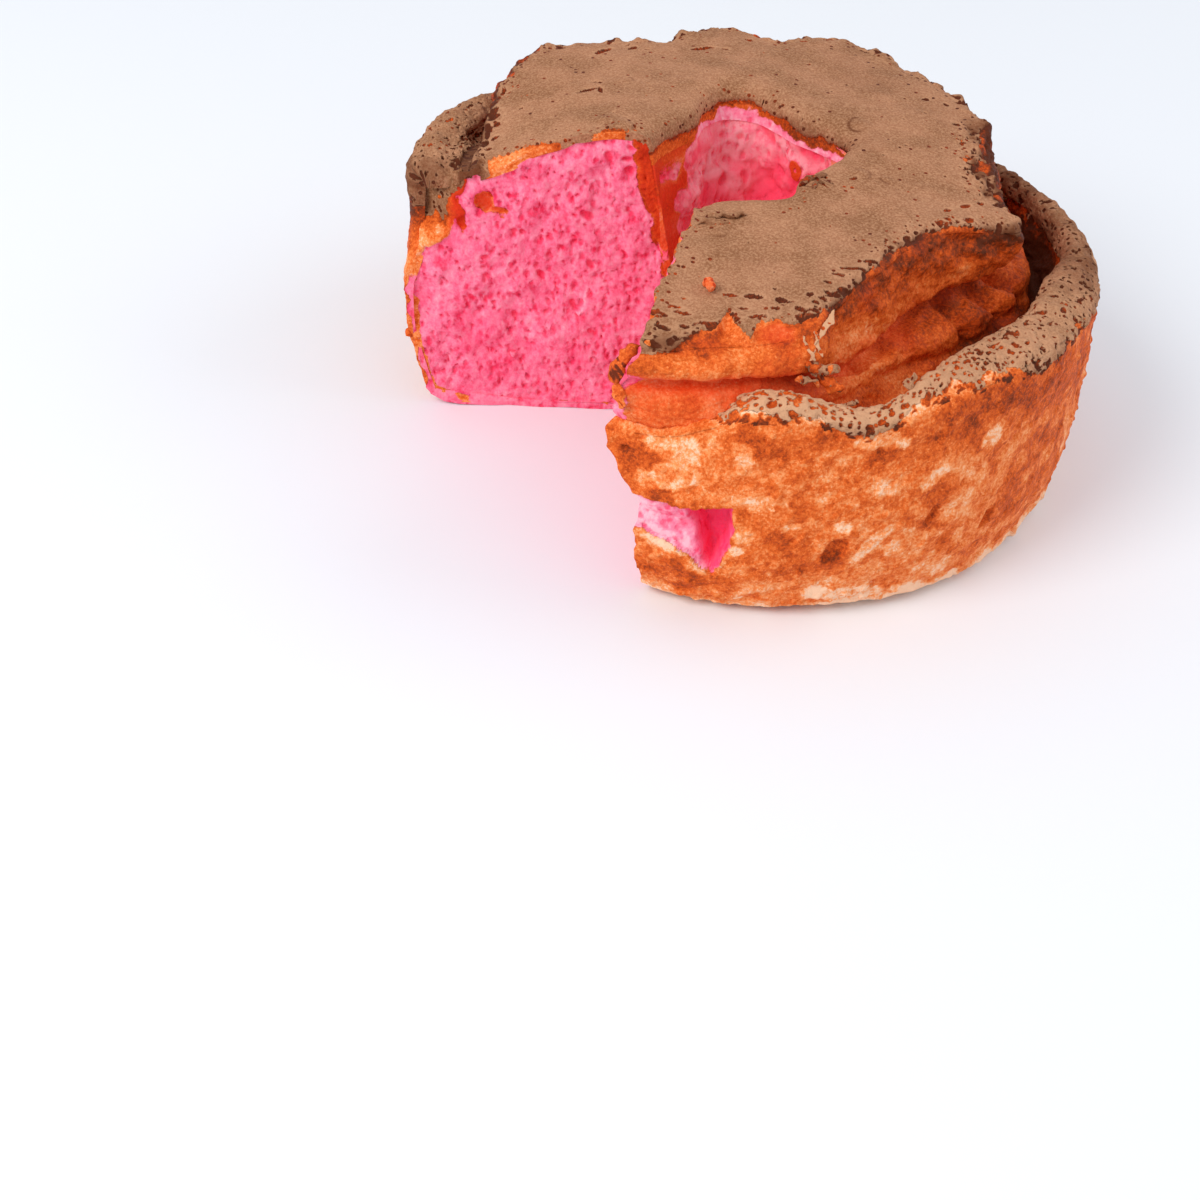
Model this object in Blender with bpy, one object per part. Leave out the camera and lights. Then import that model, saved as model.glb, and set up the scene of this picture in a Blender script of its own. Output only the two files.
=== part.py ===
"""Angel food cake from a tube pan, with one wedge cut out and a piece torn from its lower edge.

One body: the cake, standing on its flat underside, risen side up. Metres, +Z up. The origin is the
middle of the footprint, on the surface that the cake stands on. Azimuths are degrees anticlockwise
from +X, seen from above, about the cake's own axis.
"""

import math

import bpy
import numpy as np

# Driving dimensions. Sizes are in millimetres here and become metres in make_body.
MM = 0.001
LEAN = -0.10            # how far the cake leans along X for each unit of height
BASE_INSET = 8.5        # how much smaller the flat underside is than the fullest part of the wall
TUBE_RADIUS = 26.0      # the hole that the pan's tube left, near its narrowest
CUT_START = 253.7       # azimuth of the near end of the cake, at the outer wall
CUT_END = 187.0 + 360   # azimuth of the other cut face
CUT_LINE = 258.4        # direction in which the near cut runs outward
CUT_OFFSET = 10.0       # how far the near cut passes from the cake's axis
STATIONS = 64           # cross-sections from one cut face to the other
STATION_CROWDING = 1.15 # above 1, they stand closer together near the torn end
END_SHARE = 0.12        # the share of the way round over which the end's own shape fades out
TEAR_ANGLE = 14.0       # how far round the wall the torn hollow reaches from the near cut
TEAR_HEIGHT = 34.0      # height of its middle
TEAR_HALF = 12.5        # half of its height at the cut
TEAR_FLOOR = 88.0       # the radius at which it ends, inside the cake
TEAR_EDGE = 122.0       # the radius from which it is at its widest
LIP_ANGLE = 4.5         # how far the torn end stands out past the cut, above the hollow
LIP_HEIGHT = 68.0       # height of the middle of that lip
LIP_HALF = 26.0         # half of the lip's height

# Heights and radii that change round the cake, as azimuth: value pairs.
WALL_RADIUS = {255: 122.5, 300: 121.5, 335: 119.5, 10: 121, 60: 122.5, 187: 122.5}
WALL_TOP_RADIUS = {255: 121, 90: 121, 140: 120, 187: 119}
RIM_HEIGHT = {
    255: 68, 262: 70, 267: 76, 271: 82, 276: 84, 281: 82, 286: 79, 291: 79, 297: 82, 304: 84,
    345: 84, 20: 78, 50: 73, 90: 76, 140: 86, 165: 92, 187: 93,
}
RIM_INNER = {
    255: 112, 275: 109, 290: 111, 296: 110, 304: 103, 314: 99, 324: 100, 332: 103, 340: 106,
    0: 107, 40: 108, 90: 112, 140: 107, 187: 103,
}
CRACK_RADIUS = {255: 110, 275: 104, 300: 95, 314: 92, 330: 94, 0: 99, 40: 105, 90: 109, 140: 104, 187: 101}
CRACK_HEIGHT = {
    255: 63, 275: 65, 290: 62, 300: 58, 330: 52, 0: 50, 40: 56, 90: 64, 140: 72, 165: 83, 187: 86,
}
FOLD_RADIUS = {255: 119, 275: 110, 300: 87, 330: 84, 0: 92, 40: 99, 90: 104, 140: 100, 187: 98}
FOLD_HEIGHT = {255: 74, 275: 72, 300: 70, 330: 67, 0: 66, 40: 70, 90: 76, 140: 81, 165: 87, 187: 89}
CREASE_RADIUS = {
    255: 114, 266: 107, 276: 99, 286: 87, 294: 87, 304: 78, 315: 72, 325: 70, 340: 75,
    0: 87, 40: 95, 90: 100, 187: 94,
}
CREASE_HEIGHT = {255: 86, 276: 87, 287: 77, 300: 76, 330: 77, 0: 79, 40: 82, 90: 86, 140: 86, 187: 89}
BAND_SWELL = {255: 6, 276: 7, 290: 4, 305: 5, 320: 4, 345: 2, 60: 1, 187: 1}
CAP_RADIUS = {
    255: 114, 267: 107, 282: 99, 289: 87, 302: 76, 316: 71, 332: 75, 350: 91, 16: 87,
    38: 97, 50: 101, 62: 104, 74: 109, 85: 95, 95: 104, 112: 94, 140: 107, 166: 96, 187: 93,
}
CAP_HEIGHT = {255: 97, 276: 100, 290: 103, 340: 106, 40: 105, 90: 106, 140: 104, 187: 96}
HOLE_RADIUS = {
    254: 43, 261: 34, 274: 31, 296: 29.5, 312: 22.5, 330: 22.5, 345: 25, 7: 30, 19: 34.5,
    40: 31, 62: 31, 75: 37, 87: 42, 106: 42, 117: 33, 134: 27.5, 160: 28, 187: 34,
}
HOLE_HEIGHT = {254: 104, 300: 107, 0: 109, 60: 109, 120: 110, 187: 111}


def clear_scene():
    for old in list(bpy.data.objects):
        bpy.data.objects.remove(old, do_unlink=True)


def around(values, azimuth):
    """The value at an azimuth, eased from one stated azimuth to the next."""
    keys = sorted(values)
    before = max((k for k in keys if k <= azimuth % 360), default=keys[-1])
    after = min((k for k in keys if k > azimuth % 360), default=keys[0])
    span = (after - before) % 360
    share = ((azimuth - before) % 360) / span
    ease = share * share * (3 - 2 * share)
    return values[before] + (values[after] - values[before]) * ease


def round_corners(points):
    """Cuts each corner of a closed outline once, so that every side gives two points."""
    after = np.roll(points, -1, axis=0)
    return np.stack([0.75 * points + 0.25 * after, 0.25 * points + 0.75 * after], 1).reshape(-1, 2)


def cross_section(azimuth):
    """The closed outline (radius, height) of the cake at one azimuth, from the hole's foot outward."""
    wall, wall_top = around(WALL_RADIUS, azimuth), around(WALL_TOP_RADIUS, azimuth)
    base = wall - BASE_INSET
    rim, rim_inner = around(RIM_HEIGHT, azimuth), around(RIM_INNER, azimuth)
    crack, crack_z = around(CRACK_RADIUS, azimuth), around(CRACK_HEIGHT, azimuth)
    fold, fold_z = around(FOLD_RADIUS, azimuth), around(FOLD_HEIGHT, azimuth)
    crease, crease_z = around(CREASE_RADIUS, azimuth), around(CREASE_HEIGHT, azimuth)
    cap, cap_z = around(CAP_RADIUS, azimuth), around(CAP_HEIGHT, azimuth)
    swell = around(BAND_SWELL, azimuth)
    hole, hole_z = around(HOLE_RADIUS, azimuth), around(HOLE_HEIGHT, azimuth)
    # Flat below, then a rounded lower corner that swells into the wall.
    underside = [(TUBE_RADIUS + 2, 0), (70, 0), (base, 0)]
    side = [
        (base + 2.5, 4),
        (wall - 2.5, 16),
        (wall, 30),
        (wall, 46),
        (wall_top, rim - 10),
    ]
    # The collar: the rounded top of the wall, and its inner face down into the crack.
    collar = [
        (wall_top - 1, rim - 2),
        (0.5 * (wall_top + rim_inner), rim + 1),
        (rim_inner, rim - 1),
        (rim_inner + 1, 0.5 * (rim + crack_z)),
    ]
    # The crack's floor, a bulging fold beside it, and the crease under the cap.
    folds = [
        (crack, crack_z),
        (fold + 1, fold_z - 3),
        (fold - 1, fold_z + 5),
        (crease, crease_z),
    ]
    # The cap's side and its edge, which overhangs the crease.
    edge = [
        (cap + swell, 0.55 * crease_z + 0.45 * cap_z),
        (cap + 1, cap_z - 4),
        (cap - 2, cap_z),
    ]
    # The broad top of the cap, rising to the hole, and the hole's wall back to its foot.
    top = [
        (cap - 0.3 * (cap - hole), cap_z + 0.5 * (hole_z - cap_z)),
        (cap - 0.7 * (cap - hole), hole_z),
        (hole + 3, hole_z),
    ]
    tube = [
        (hole, hole_z - 4),
        (0.6 * hole + 0.4 * TUBE_RADIUS, 0.75 * hole_z),
        (TUBE_RADIUS, 0.5 * hole_z),
        (TUBE_RADIUS, 0.2 * hole_z),
    ]
    return round_corners(np.array(underside + side + collar + folds + edge + top + tube, float))


def end_shift(radius, height):
    """Degrees by which the near end starts late, in the torn hollow, or early, at the lip over it."""
    hollow = max(0.0, 1 - ((height - TEAR_HEIGHT) / TEAR_HALF) ** 2)
    lip = max(0.0, 1 - ((height - LIP_HEIGHT) / LIP_HALF) ** 2)
    inward = min(1.0, max(0.0, (radius - TEAR_FLOOR) / (TEAR_EDGE - TEAR_FLOOR)))
    return (TEAR_ANGLE * math.sqrt(hollow) - LIP_ANGLE * lip) * inward


def near_azimuth(radius, height):
    """Where the near cut, a flat face beside the axis, crosses this radius."""
    return CUT_LINE - math.degrees(math.asin(CUT_OFFSET / radius)) + end_shift(radius, height)


def body_points():
    """The outline at every station, as rows of (x, y, z) points in millimetres."""
    rows = []
    for step in range(STATIONS + 1):
        share = (step / STATIONS) ** STATION_CROWDING
        station = CUT_START + (CUT_END - CUT_START) * share
        held = max(0.0, 1 - share / END_SHARE)
        row = []
        for radius, height in cross_section(station):
            shift = (near_azimuth(radius, height) - CUT_START) * held
            angle = math.radians(station + shift)
            row.append((
                radius * math.cos(angle) + LEAN * height,
                radius * math.sin(angle),
                height,
            ))
        rows.append(row)
    return np.array(rows)


def make_body(name):
    """The swept body: outlines joined side by side, and one face over each cut."""
    points = body_points()
    low, high = points.min(axis=(0, 1)), points.max(axis=(0, 1))
    points = points - [(low[0] + high[0]) / 2, (low[1] + high[1]) / 2, low[2]]
    rows, columns = points.shape[:2]
    faces = []
    for row in range(rows - 1):
        for column in range(columns):
            following = (column + 1) % columns
            faces.append((
                row * columns + column,
                (row + 1) * columns + column,
                (row + 1) * columns + following,
                row * columns + following,
            ))
    faces.append(tuple(range(columns)))
    faces.append(tuple((rows - 1) * columns + c for c in reversed(range(columns))))
    mesh = bpy.data.meshes.new(name)
    mesh.from_pydata((points.reshape(-1, 3) * MM).tolist(), [], faces)
    mesh.validate()
    mesh.update()
    body = bpy.data.objects.new(name, mesh)
    bpy.context.scene.collection.objects.link(body)
    mesh.shade_smooth()
    mesh.set_sharp_from_angle(angle=math.radians(50))
    return body


def crust_material():
    """Golden brown baked crust: matt, with no metal in it."""
    material = bpy.data.materials.new("baked crust")
    material.use_nodes = True
    shader = material.node_tree.nodes["Principled BSDF"]
    shader.inputs["Base Color"].default_value = (0.50, 0.24, 0.12, 1)
    shader.inputs["Roughness"].default_value = 0.85
    shader.inputs["Metallic"].default_value = 0.0
    return material


clear_scene()
cake = make_body("cake")
cake.data.materials.append(crust_material())
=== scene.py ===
import math

import bpy
import numpy as np
from mathutils import Matrix, Vector


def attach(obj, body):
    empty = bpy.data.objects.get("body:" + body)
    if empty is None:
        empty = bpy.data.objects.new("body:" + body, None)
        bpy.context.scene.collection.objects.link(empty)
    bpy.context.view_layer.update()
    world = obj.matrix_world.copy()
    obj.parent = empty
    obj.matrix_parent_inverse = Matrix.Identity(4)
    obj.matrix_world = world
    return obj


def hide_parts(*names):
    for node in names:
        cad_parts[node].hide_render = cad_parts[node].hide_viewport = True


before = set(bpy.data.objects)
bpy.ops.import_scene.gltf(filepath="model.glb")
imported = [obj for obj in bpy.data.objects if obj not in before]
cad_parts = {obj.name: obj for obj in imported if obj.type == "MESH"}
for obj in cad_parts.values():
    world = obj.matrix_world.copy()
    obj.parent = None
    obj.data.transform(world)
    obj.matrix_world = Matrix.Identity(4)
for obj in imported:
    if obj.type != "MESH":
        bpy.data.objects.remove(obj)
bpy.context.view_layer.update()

mm = 0.001
wallArc, capArc, tubeArc = 121, 88, 30     # radii at which lengths round the wall, cap and hole are taken

# Sizes of the cake in millimetres, azimuths in degrees anticlockwise from +X about its own axis.
cakeShape = {
    "axisX": 4.6,          # where the axis meets the floor
    "lean": -0.10,         # sideways lean along X for each unit of height
    "baseInset": 8.5,
    "tubeRadius": 26.0,
    "cutStart": 253.7,     # near end of the cake at its wall
    "cutEnd": 547.0,       # the other cut face, 187 degrees
    "cutLine": 258.4,      # direction of the near cut
    "cutOffset": 10.0,     # how far the near cut passes from the axis
    "endFade": 35.0,       # degrees over which the near end's own shape fades out
    "lipAngle": 4.5,       # torn lip that stands out past the near cut
    "lipHeight": 68.0,
    "lipHalf": 26.0,
    "lipFrom": 88.0,       # radius where the lip begins
    "lipFull": 122.0,
}
# Radii and heights that change round the cake, as azimuth: value.
ring = {
    "wall": {255: 122.5, 300: 121.5, 335: 119.5, 10: 121, 60: 122.5, 187: 122.5},
    "wallTop": {255: 121, 90: 121, 140: 120, 187: 119},
    "rimHeight": {
        255: 68, 262: 70, 267: 76, 271: 82, 276: 84, 281: 82, 286: 79, 291: 79, 297: 82, 304: 84, 345: 84,
        20: 78, 50: 73, 90: 76, 140: 86, 165: 92, 187: 93,
    },
    "rimInner": {
        255: 112, 275: 109, 290: 111, 296: 110, 304: 103, 314: 99, 324: 100, 332: 102, 340: 102.5,
        347: 102, 352: 104.5, 358: 109, 6: 110.5, 25: 113, 50: 111, 90: 112, 140: 107, 187: 103,
    },
    "crack": {
        255: 112, 275: 106, 300: 96, 314: 93, 330: 95, 342: 100, 352: 104, 5: 105.5, 25: 108, 40: 107,
        90: 109, 140: 104, 187: 101,
    },
    "crackHeight": {
        255: 64, 275: 67, 290: 64, 300: 60, 330: 55, 345: 57, 0: 54, 40: 56, 90: 64, 140: 72, 160: 80,
        170: 88, 180: 92, 187: 94,
    },
    "fold": {
        255: 120, 275: 111, 300: 88, 328: 85, 342: 93, 352: 98, 5: 99, 40: 101, 90: 104, 140: 100,
        187: 98,
    },
    "foldRise": {255: 5, 140: 5, 165: 3, 187: 1},
    "foldHeight": {
        255: 75, 275: 74, 300: 70, 330: 67, 345: 69, 0: 68, 40: 70, 90: 76, 140: 81, 160: 85, 170: 90,
        187: 95,
    },
    "crease": {
        255: 117, 266: 111.5, 276: 103.5, 286: 89, 294: 87, 304: 78, 315: 72, 325: 70, 340: 75, 0: 87,
        40: 95, 90: 100, 187: 94,
    },
    "creaseHeight": {
        255: 85, 276: 85, 287: 77, 300: 76, 330: 77, 0: 79, 40: 82, 90: 86, 140: 86, 160: 87, 170: 91,
        187: 95.5,
    },
    "bandSwell": {255: 6, 276: 7, 290: 4, 305: 5, 320: 4, 345: 2, 60: 1, 187: 1},
    "cap": {
        255: 114, 267: 107, 282: 99, 289: 87, 302: 76, 316: 71, 332: 75, 340: 84, 345.5: 92.5, 350: 90,
        356: 85.5, 6: 85, 16: 88, 28: 95, 38: 97.5, 50: 101, 62: 104, 74: 109, 85: 95, 95: 104, 112: 94,
        140: 107, 166: 96, 187: 93,
    },
    "capHeight": {
        255: 97, 276: 100, 290: 103, 332: 106, 345: 103, 358: 105, 40: 105, 90: 106, 140: 104, 187: 96,
    },
    "hole": {
        254: 38.5, 261: 30, 274: 26.5, 296: 28, 312: 21.5, 330: 22.5, 345: 25, 7: 31, 19: 35, 40: 32,
        62: 31, 75: 35, 87: 40, 106: 41, 117: 37, 134: 28, 160: 28, 187: 34,
    },
    "holeHeight": {254: 104, 300: 107, 0: 109, 60: 109, 120: 110, 187: 111},
}


# A number from 0 to 1 for each cell of a grid, the same on every run.
def cellHash(cell, seed):
    n = (cell[..., 0] * 73856093) ^ (cell[..., 1] * 19349663) ^ (cell[..., 2] * 83492791) ^ (seed * 40503177)
    n = n & 0xFFFFFFFF
    n = ((n ^ (n >> 16)) * 73244475) & 0xFFFFFFFF
    n = ((n ^ (n >> 16)) * 73244475) & 0xFFFFFFFF
    return ((n ^ (n >> 16)) & 0xFFFFFF) / 0xFFFFFF


# Smooth noise from -1 to 1 with lumps about as wide as size.
def lumps(points, size, seed=0):
    turn = np.array(Matrix.Rotation(0.7 + seed, 3, Vector((0.3, 0.8, 0.5)).normalized()))
    q = points @ turn.T / size + 37.3
    cell = np.floor(q).astype(np.int64)
    f = q - cell
    w = f * f * f * (f * (f * 6 - 15) + 10)
    total = 0.0
    for corner in range(8):
        step = np.array([(corner >> k) & 1 for k in range(3)])
        weight = np.prod(np.where(step, w, 1 - w), axis=-1)
        total = total + weight * cellHash(cell + step, seed)
    return total * 2 - 1


# Lumps of several sizes on top of each other, each as (height, size, seed).
def lumpy(points, *terms):
    return sum(weight * lumps(points, size, seed) for weight, size, seed in terms)


# Several sizes of lumps on top of each other, each half as wide and half as high.
def roughness(points, size, layers, seed):
    total = 0.0
    for layer in range(layers):
        total = total + lumps(points, size / 2 ** layer, seed + 11 * layer) * 0.5 ** layer
    return total


def smooth(low, high, value):
    t = np.clip((value - low) / (high - low), 0, 1)
    return t * t * (3 - 2 * t)


# Rises over one range and falls over a later one.
def window(value, riseFrom, riseTo, fallFrom, fallTo):
    return smooth(riseFrom, riseTo, value) * smooth(fallTo, fallFrom, value)


def mix(a, b, share):
    return a + (b - a) * share


# Value of a ring curve at each azimuth, on a smooth curve through its keys.
def around(name, azimuth):
    keys = sorted(ring[name])
    angle = np.array([keys[-2] - 360, keys[-1] - 360, *keys, keys[0] + 360, keys[1] + 360], float)
    value = np.array([ring[name][k % 360] for k in angle], float)
    slope = np.gradient(value, angle) * 0.8
    x = np.asarray(azimuth, float) % 360
    i = np.clip(np.searchsorted(angle, x, side="right") - 1, 0, len(angle) - 2)
    span = angle[i + 1] - angle[i]
    t = (x - angle[i]) / span
    rise = value[i + 1] - value[i]
    ease = t * t * (3 - 2 * t)
    return value[i] + rise * ease + span * t * (1 - t) * (slope[i] * (1 - t) - slope[i + 1] * t)


# The outline's corners (radius, height) at each azimuth, from the hole's foot out and over the top.
def outlineCorners(azimuth):
    at = {name: around(name, azimuth) for name in ring}
    base = at["wall"] - cakeShape["baseInset"]
    rim, rimInner, wallTop = at["rimHeight"], at["rimInner"], at["wallTop"]
    tube, hole, holeTop = cakeShape["tubeRadius"], at["hole"], at["holeHeight"]
    cap, capTop = at["cap"], at["capHeight"]
    corners = [
        (tube + 2, 0), (70, 0), (base, 0),
        (base + 2.5, 4), (at["wall"] - 2.5, 16), (at["wall"], 30), (at["wall"], 46), (wallTop, rim - 10),
        (wallTop - 1, rim - 2), ((wallTop + rimInner) / 2, rim + 1), (rimInner, rim - 1),
        (rimInner + 1, (rim + at["crackHeight"]) / 2),
        (at["crack"], at["crackHeight"]), (at["fold"] + 1, at["foldHeight"] - 0.6 * at["foldRise"]),
        (at["fold"] - 1, at["foldHeight"] + at["foldRise"]), (at["crease"], at["creaseHeight"]),
        (cap + at["bandSwell"], 0.55 * at["creaseHeight"] + 0.45 * capTop),
        (cap + 1, np.maximum(capTop - 4, mix(at["creaseHeight"], capTop, 0.4))), (cap - 2, capTop),
        (cap - 0.3 * (cap - hole), (capTop + holeTop) / 2), (cap - 0.7 * (cap - hole), holeTop),
        (hole + 3, holeTop),
        (hole, holeTop - 4), (0.6 * hole + 0.4 * tube, 0.75 * holeTop), (tube, 0.5 * holeTop),
        (tube, 0.2 * holeTop),
    ]
    flat = np.zeros_like(base)
    return np.stack([np.stack([r + flat, z + flat], -1) for r, z in corners], -2)


# The rounded outline at each azimuth: eight points for each side between two corners.
def outlines(azimuth):
    points = outlineCorners(azimuth)
    for _ in range(3):
        after = np.roll(points, -1, axis=-2)
        pair = np.stack([0.75 * points + 0.25 * after, 0.25 * points + 0.75 * after], -2)
        points = pair.reshape(*points.shape[:-2], -1, 2)
    corner = (np.arange(points.shape[-2]) + 0.5) / 8
    corner = np.broadcast_to(corner, points.shape[:-1])
    return np.concatenate([points, corner[..., None]], -1)


# Distance in millimetres that a ragged tear adds to the near end.
tornEnd = {"wander": 1.8, "wanderSize": 8.0, "ragged": 1.1, "raggedSize": 2.8}


# Azimuth of the near cut, a flat face beside the axis, with the torn lip on it.
def nearAzimuth(radius, height):
    lip = np.clip(1 - ((height - cakeShape["lipHeight"]) / cakeShape["lipHalf"]) ** 2, 0, 1)
    inward = np.clip(
        (radius - cakeShape["lipFrom"]) / (cakeShape["lipFull"] - cakeShape["lipFrom"]), 0, 1)
    straight = cakeShape["cutLine"] - np.degrees(np.arcsin(cakeShape["cutOffset"] / np.maximum(radius, 15)))
    spot = np.stack([radius, np.zeros_like(radius), height], -1)
    tear = tornEnd["wander"] * lumps(spot, tornEnd["wanderSize"], 3)
    tear += tornEnd["ragged"] * lumps(spot, tornEnd["raggedSize"], 4)
    return straight - cakeShape["lipAngle"] * lip * inward + np.degrees(tear / np.maximum(radius, 40))


# At the far cut the collar's corner is rounded back, with its crust still on.
farCorner = {"outline": [(127, 54), (117, 60), (103, 71), (100, 84), (95, 95), (127, 100)], "setBack": 9.0,
             "over": 13.0,
             "from": 521, "wander": 0.9, "wanderSize": 7.0}


def farAzimuth(radius, height):
    f = farCorner
    into = insideOutline(radius, height, f["outline"])
    spot = np.stack([radius, np.full(radius.shape, 50.0), height], -1)
    back = f["setBack"] * smooth(0, f["over"], into) + f["wander"] * lumps(spot, f["wanderSize"], 9)
    return cakeShape["cutEnd"] - np.degrees(back / np.maximum(radius, 40))


# Turns (azimuth, radius, height) in millimetres into points of the standing cake.
def place(azimuth, radius, height):
    angle = np.radians(azimuth)
    x = radius * np.cos(angle) + cakeShape["lean"] * height + cakeShape["axisX"]
    return np.stack([x, radius * np.sin(angle), height], -1)


# Radius and height of points of the standing cake, about its own axis.
def aboutAxis(points):
    x = points[..., 0] - cakeShape["lean"] * points[..., 2] - cakeShape["axisX"]
    return np.hypot(x, points[..., 1]), points[..., 2]


# Places along the outline, as corner numbers.
cornerAt = {
    "rimOutside": 8.3, "rimInside": 10.2, "fissure": 13.0, "crease": 15.0, "capEdge": 17.3, "holeEdge": 21.45,
    "tubeTop": 21.6, "tubeFoot": 26.0,
}
# The skin's grid: columns go round the cake, and rows go along the outline.
skinGrid = {
    "columns": 760,
    "backShare": 0.62,     # how close the columns stand at the back, against the front
    "rows": {"under": 12, "wall": 112, "collar": 80, "folds": 98, "cap": 122},
    "from": {"under": 0.0, "wall": 2.5, "collar": 7.7, "folds": 11.9, "cap": 16.9},
    "titles": {
        "under": "underCrust", "wall": "wallCrust", "collar": "collarRim", "folds": "foldCrust",
        "cap": "capCrust",
    },
    "to": 21.9,
}


def columnAzimuths():
    fine = np.linspace(cakeShape["cutStart"], cakeShape["cutEnd"], 6000)
    back = window(fine, 375, 400, 515, 543)
    along = np.cumsum(1 - (1 - skinGrid["backShare"]) * back)
    along = (along - along[0]) / (along[-1] - along[0])
    return np.interp(np.linspace(0, 1, skinGrid["columns"]), along, fine)


# Spreads rows evenly by length over the stretch of each outline between two corner numbers.
def rowsBetween(run, first, last, rows, keepLast):
    out = np.empty((len(run), rows, 3))
    shares = np.linspace(0, 1, rows + (0 if keepLast else 1))[:rows]
    for k, line in enumerate(run):
        fine = np.linspace(first, last, rows * 3)
        points = np.stack([np.interp(fine, line[:, 2], line[:, c]) for c in range(3)], -1)
        along = np.concatenate([[0], np.cumsum(np.linalg.norm(np.diff(points[:, :2], axis=0), axis=1))])
        for c in range(3):
            out[k, :, c] = np.interp(shares * along[-1], along, points[:, c])
    return out


# Azimuth of every point of a grid: the near end's own shape fades out round the cake.
def bentAzimuth(columns, radius, height):
    held = np.clip(1 - (columns - cakeShape["cutStart"]) / cakeShape["endFade"], 0, 1)[:, None]
    last = np.clip((columns - farCorner["from"]) / (cakeShape["cutEnd"] - farCorner["from"]), 0, 1)[:, None]
    near = (nearAzimuth(radius, height) - cakeShape["cutStart"]) * held
    return columns[:, None] + near + (farAzimuth(radius, height) - cakeShape["cutEnd"]) * last


# How far an edge has rounded over, 0 to 1, at a distance from a cut.
def roundedOver(distance, reach):
    t = np.clip(1 - distance / reach, 0, 1)
    return 1 - np.sqrt(1 - t * t)


def normalsOf(points):
    normal = np.cross(np.gradient(points, axis=0), np.gradient(points, axis=1))
    return normal / np.maximum(np.linalg.norm(normal, axis=-1, keepdims=True), 1e-9)


# Signed distance in millimetres inside a closed outline, positive inside.
def insideOutline(u, v, corners):
    corners = np.array(corners, float)
    best = np.full(u.shape, 1e9)
    inside = np.zeros(u.shape, bool)
    for (ax, ay), (bx, by) in zip(corners, np.roll(corners, -1, axis=0)):
        t = np.clip(((u - ax) * (bx - ax) + (v - ay) * (by - ay)) / ((bx - ax) ** 2 + (by - ay) ** 2), 0, 1)
        best = np.minimum(best, np.hypot(u - ax - t * (bx - ax), v - ay - t * (by - ay)))
        if ay != by:
            crosses = ((ay > v) != (by > v)) & (u < (bx - ax) * (v - ay) / (by - ay) + ax)
            inside = inside ^ crosses
    return np.where(inside, best, -best)


# How deep a place lies inside scattered round pits, in millimetres, negative outside them.
def pits(u, v, size, share, seed, widest=0.42):
    q = np.stack([u / size + 91.7, v / size + 57.2, np.full(u.shape, 3.0)], -1)
    base = np.floor(q).astype(np.int64)
    best = np.full(u.shape, -size)
    for index in range(9):
        cell = base + np.array([index // 3 - 1, index % 3 - 1, 0])
        du = cell[..., 0] + 0.1 + 0.8 * cellHash(cell, seed) - q[..., 0]
        dv = cell[..., 1] + 0.1 + 0.8 * cellHash(cell, seed + 1) - q[..., 1]
        own = cellHash(cell, seed + 2)
        depth = size * (widest * np.sqrt(np.clip(1 - own / share, 0, 1)) - np.hypot(du, dv))
        best = np.where(own < share, np.maximum(best, depth), best)
    return best


# Long thin slits placed one by one on a surface with its own two directions.
def slits(u, v, marks, ragged):
    best = np.full(u.shape, -9.0)
    for across, along, length, width, turn in marks:
        c, s = math.cos(math.radians(turn)), math.sin(math.radians(turn))
        du, dv = (u - across) * c + (v - along) * s, (v - along) * c - (u - across) * s
        best = np.maximum(best, (1 - np.hypot(du / (length / 2), dv / (width / 2))) * width / 2)
    return best + ragged


skinColumns = columnAzimuths()
skinRuns = outlines(skinColumns)
names = list(skinGrid["rows"])
bands, firstRow, row = [], {}, 0
for name in names:
    following = names[names.index(name) + 1] if name != names[-1] else None
    last = skinGrid["from"][following] if following else skinGrid["to"]
    first, rows = skinGrid["from"][name], skinGrid["rows"][name]
    bands.append(rowsBetween(skinRuns, first, last, rows, following is None))
    firstRow[name] = row
    row += rows
outline = np.concatenate(bands, axis=1)
radius, height, corner = outline[..., 0], outline[..., 1], outline[..., 2]
azimuth = bentAzimuth(skinColumns, radius, height)
plain = place(azimuth, radius, height)
plainNormal = normalsOf(plain)
stretch = np.linalg.norm(np.diff(outline[..., :2], axis=1), axis=2)
along = np.concatenate([np.zeros((len(plain), 1)), np.cumsum(stretch, axis=1)], 1)


# Length along the outline measured from a named place on it, in millimetres.
def lengthFrom(mark):
    start = np.array([np.interp(cornerAt[mark], corner[k], along[k]) for k in range(len(along))])
    return along - start[:, None]


fromNearCut = np.radians(azimuth - nearAzimuth(radius, height)) * radius
fromFarCut = np.radians(farAzimuth(radius, height) - azimuth) * radius
print("skin grid", plain.shape, "low", plain.min((0, 1)).round(1), "high", plain.max((0, 1)).round(1))

# What the skin carries at each point: how far it stands out, and what its finish depends on.
relief = np.zeros(radius.shape)
finish = {
    "skin": np.full(radius.shape, -9.0),   # millimetres inside the dry tan skin, negative outside it
    "pit": np.full(radius.shape, -9.0),    # millimetres inside a pit
    "toast": np.zeros(radius.shape),       # 0 golden to 1 dark brown, from baking, and also painted shade in the crack and under the cap
    "pale": np.zeros(radius.shape),        # 0 to 1, under-baked; on torn crumb it lightens the pink, and in the hole and the torn hollow that is painted light
    "torn": np.zeros(radius.shape),        # 1 where the crust is gone and the crumb shows
    "red": np.zeros(radius.shape),         # 0 to 1, moist and red, in folds and hollows; in the torn hollow's deep back it is painted shade
}
around100 = np.radians(azimuth) * 100      # millimetres round the cake, measured at a radius of 100


# Rows of one band of the skin, a few more on either side, and its weight, which fades over them.
def bandRows(name, margin=5):
    start = firstRow[name]
    stop = start + skinGrid["rows"][name]
    low, high = max(0, start - margin), min(radius.shape[1], stop + margin)
    rows = np.arange(low, high)
    weight = np.ones(len(rows))
    if start > 0:
        weight *= smooth(start - margin, start + margin, rows)
    if stop < radius.shape[1]:
        weight *= smooth(stop + margin, stop - margin, rows)
    return slice(low, high), weight[None, :]


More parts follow.
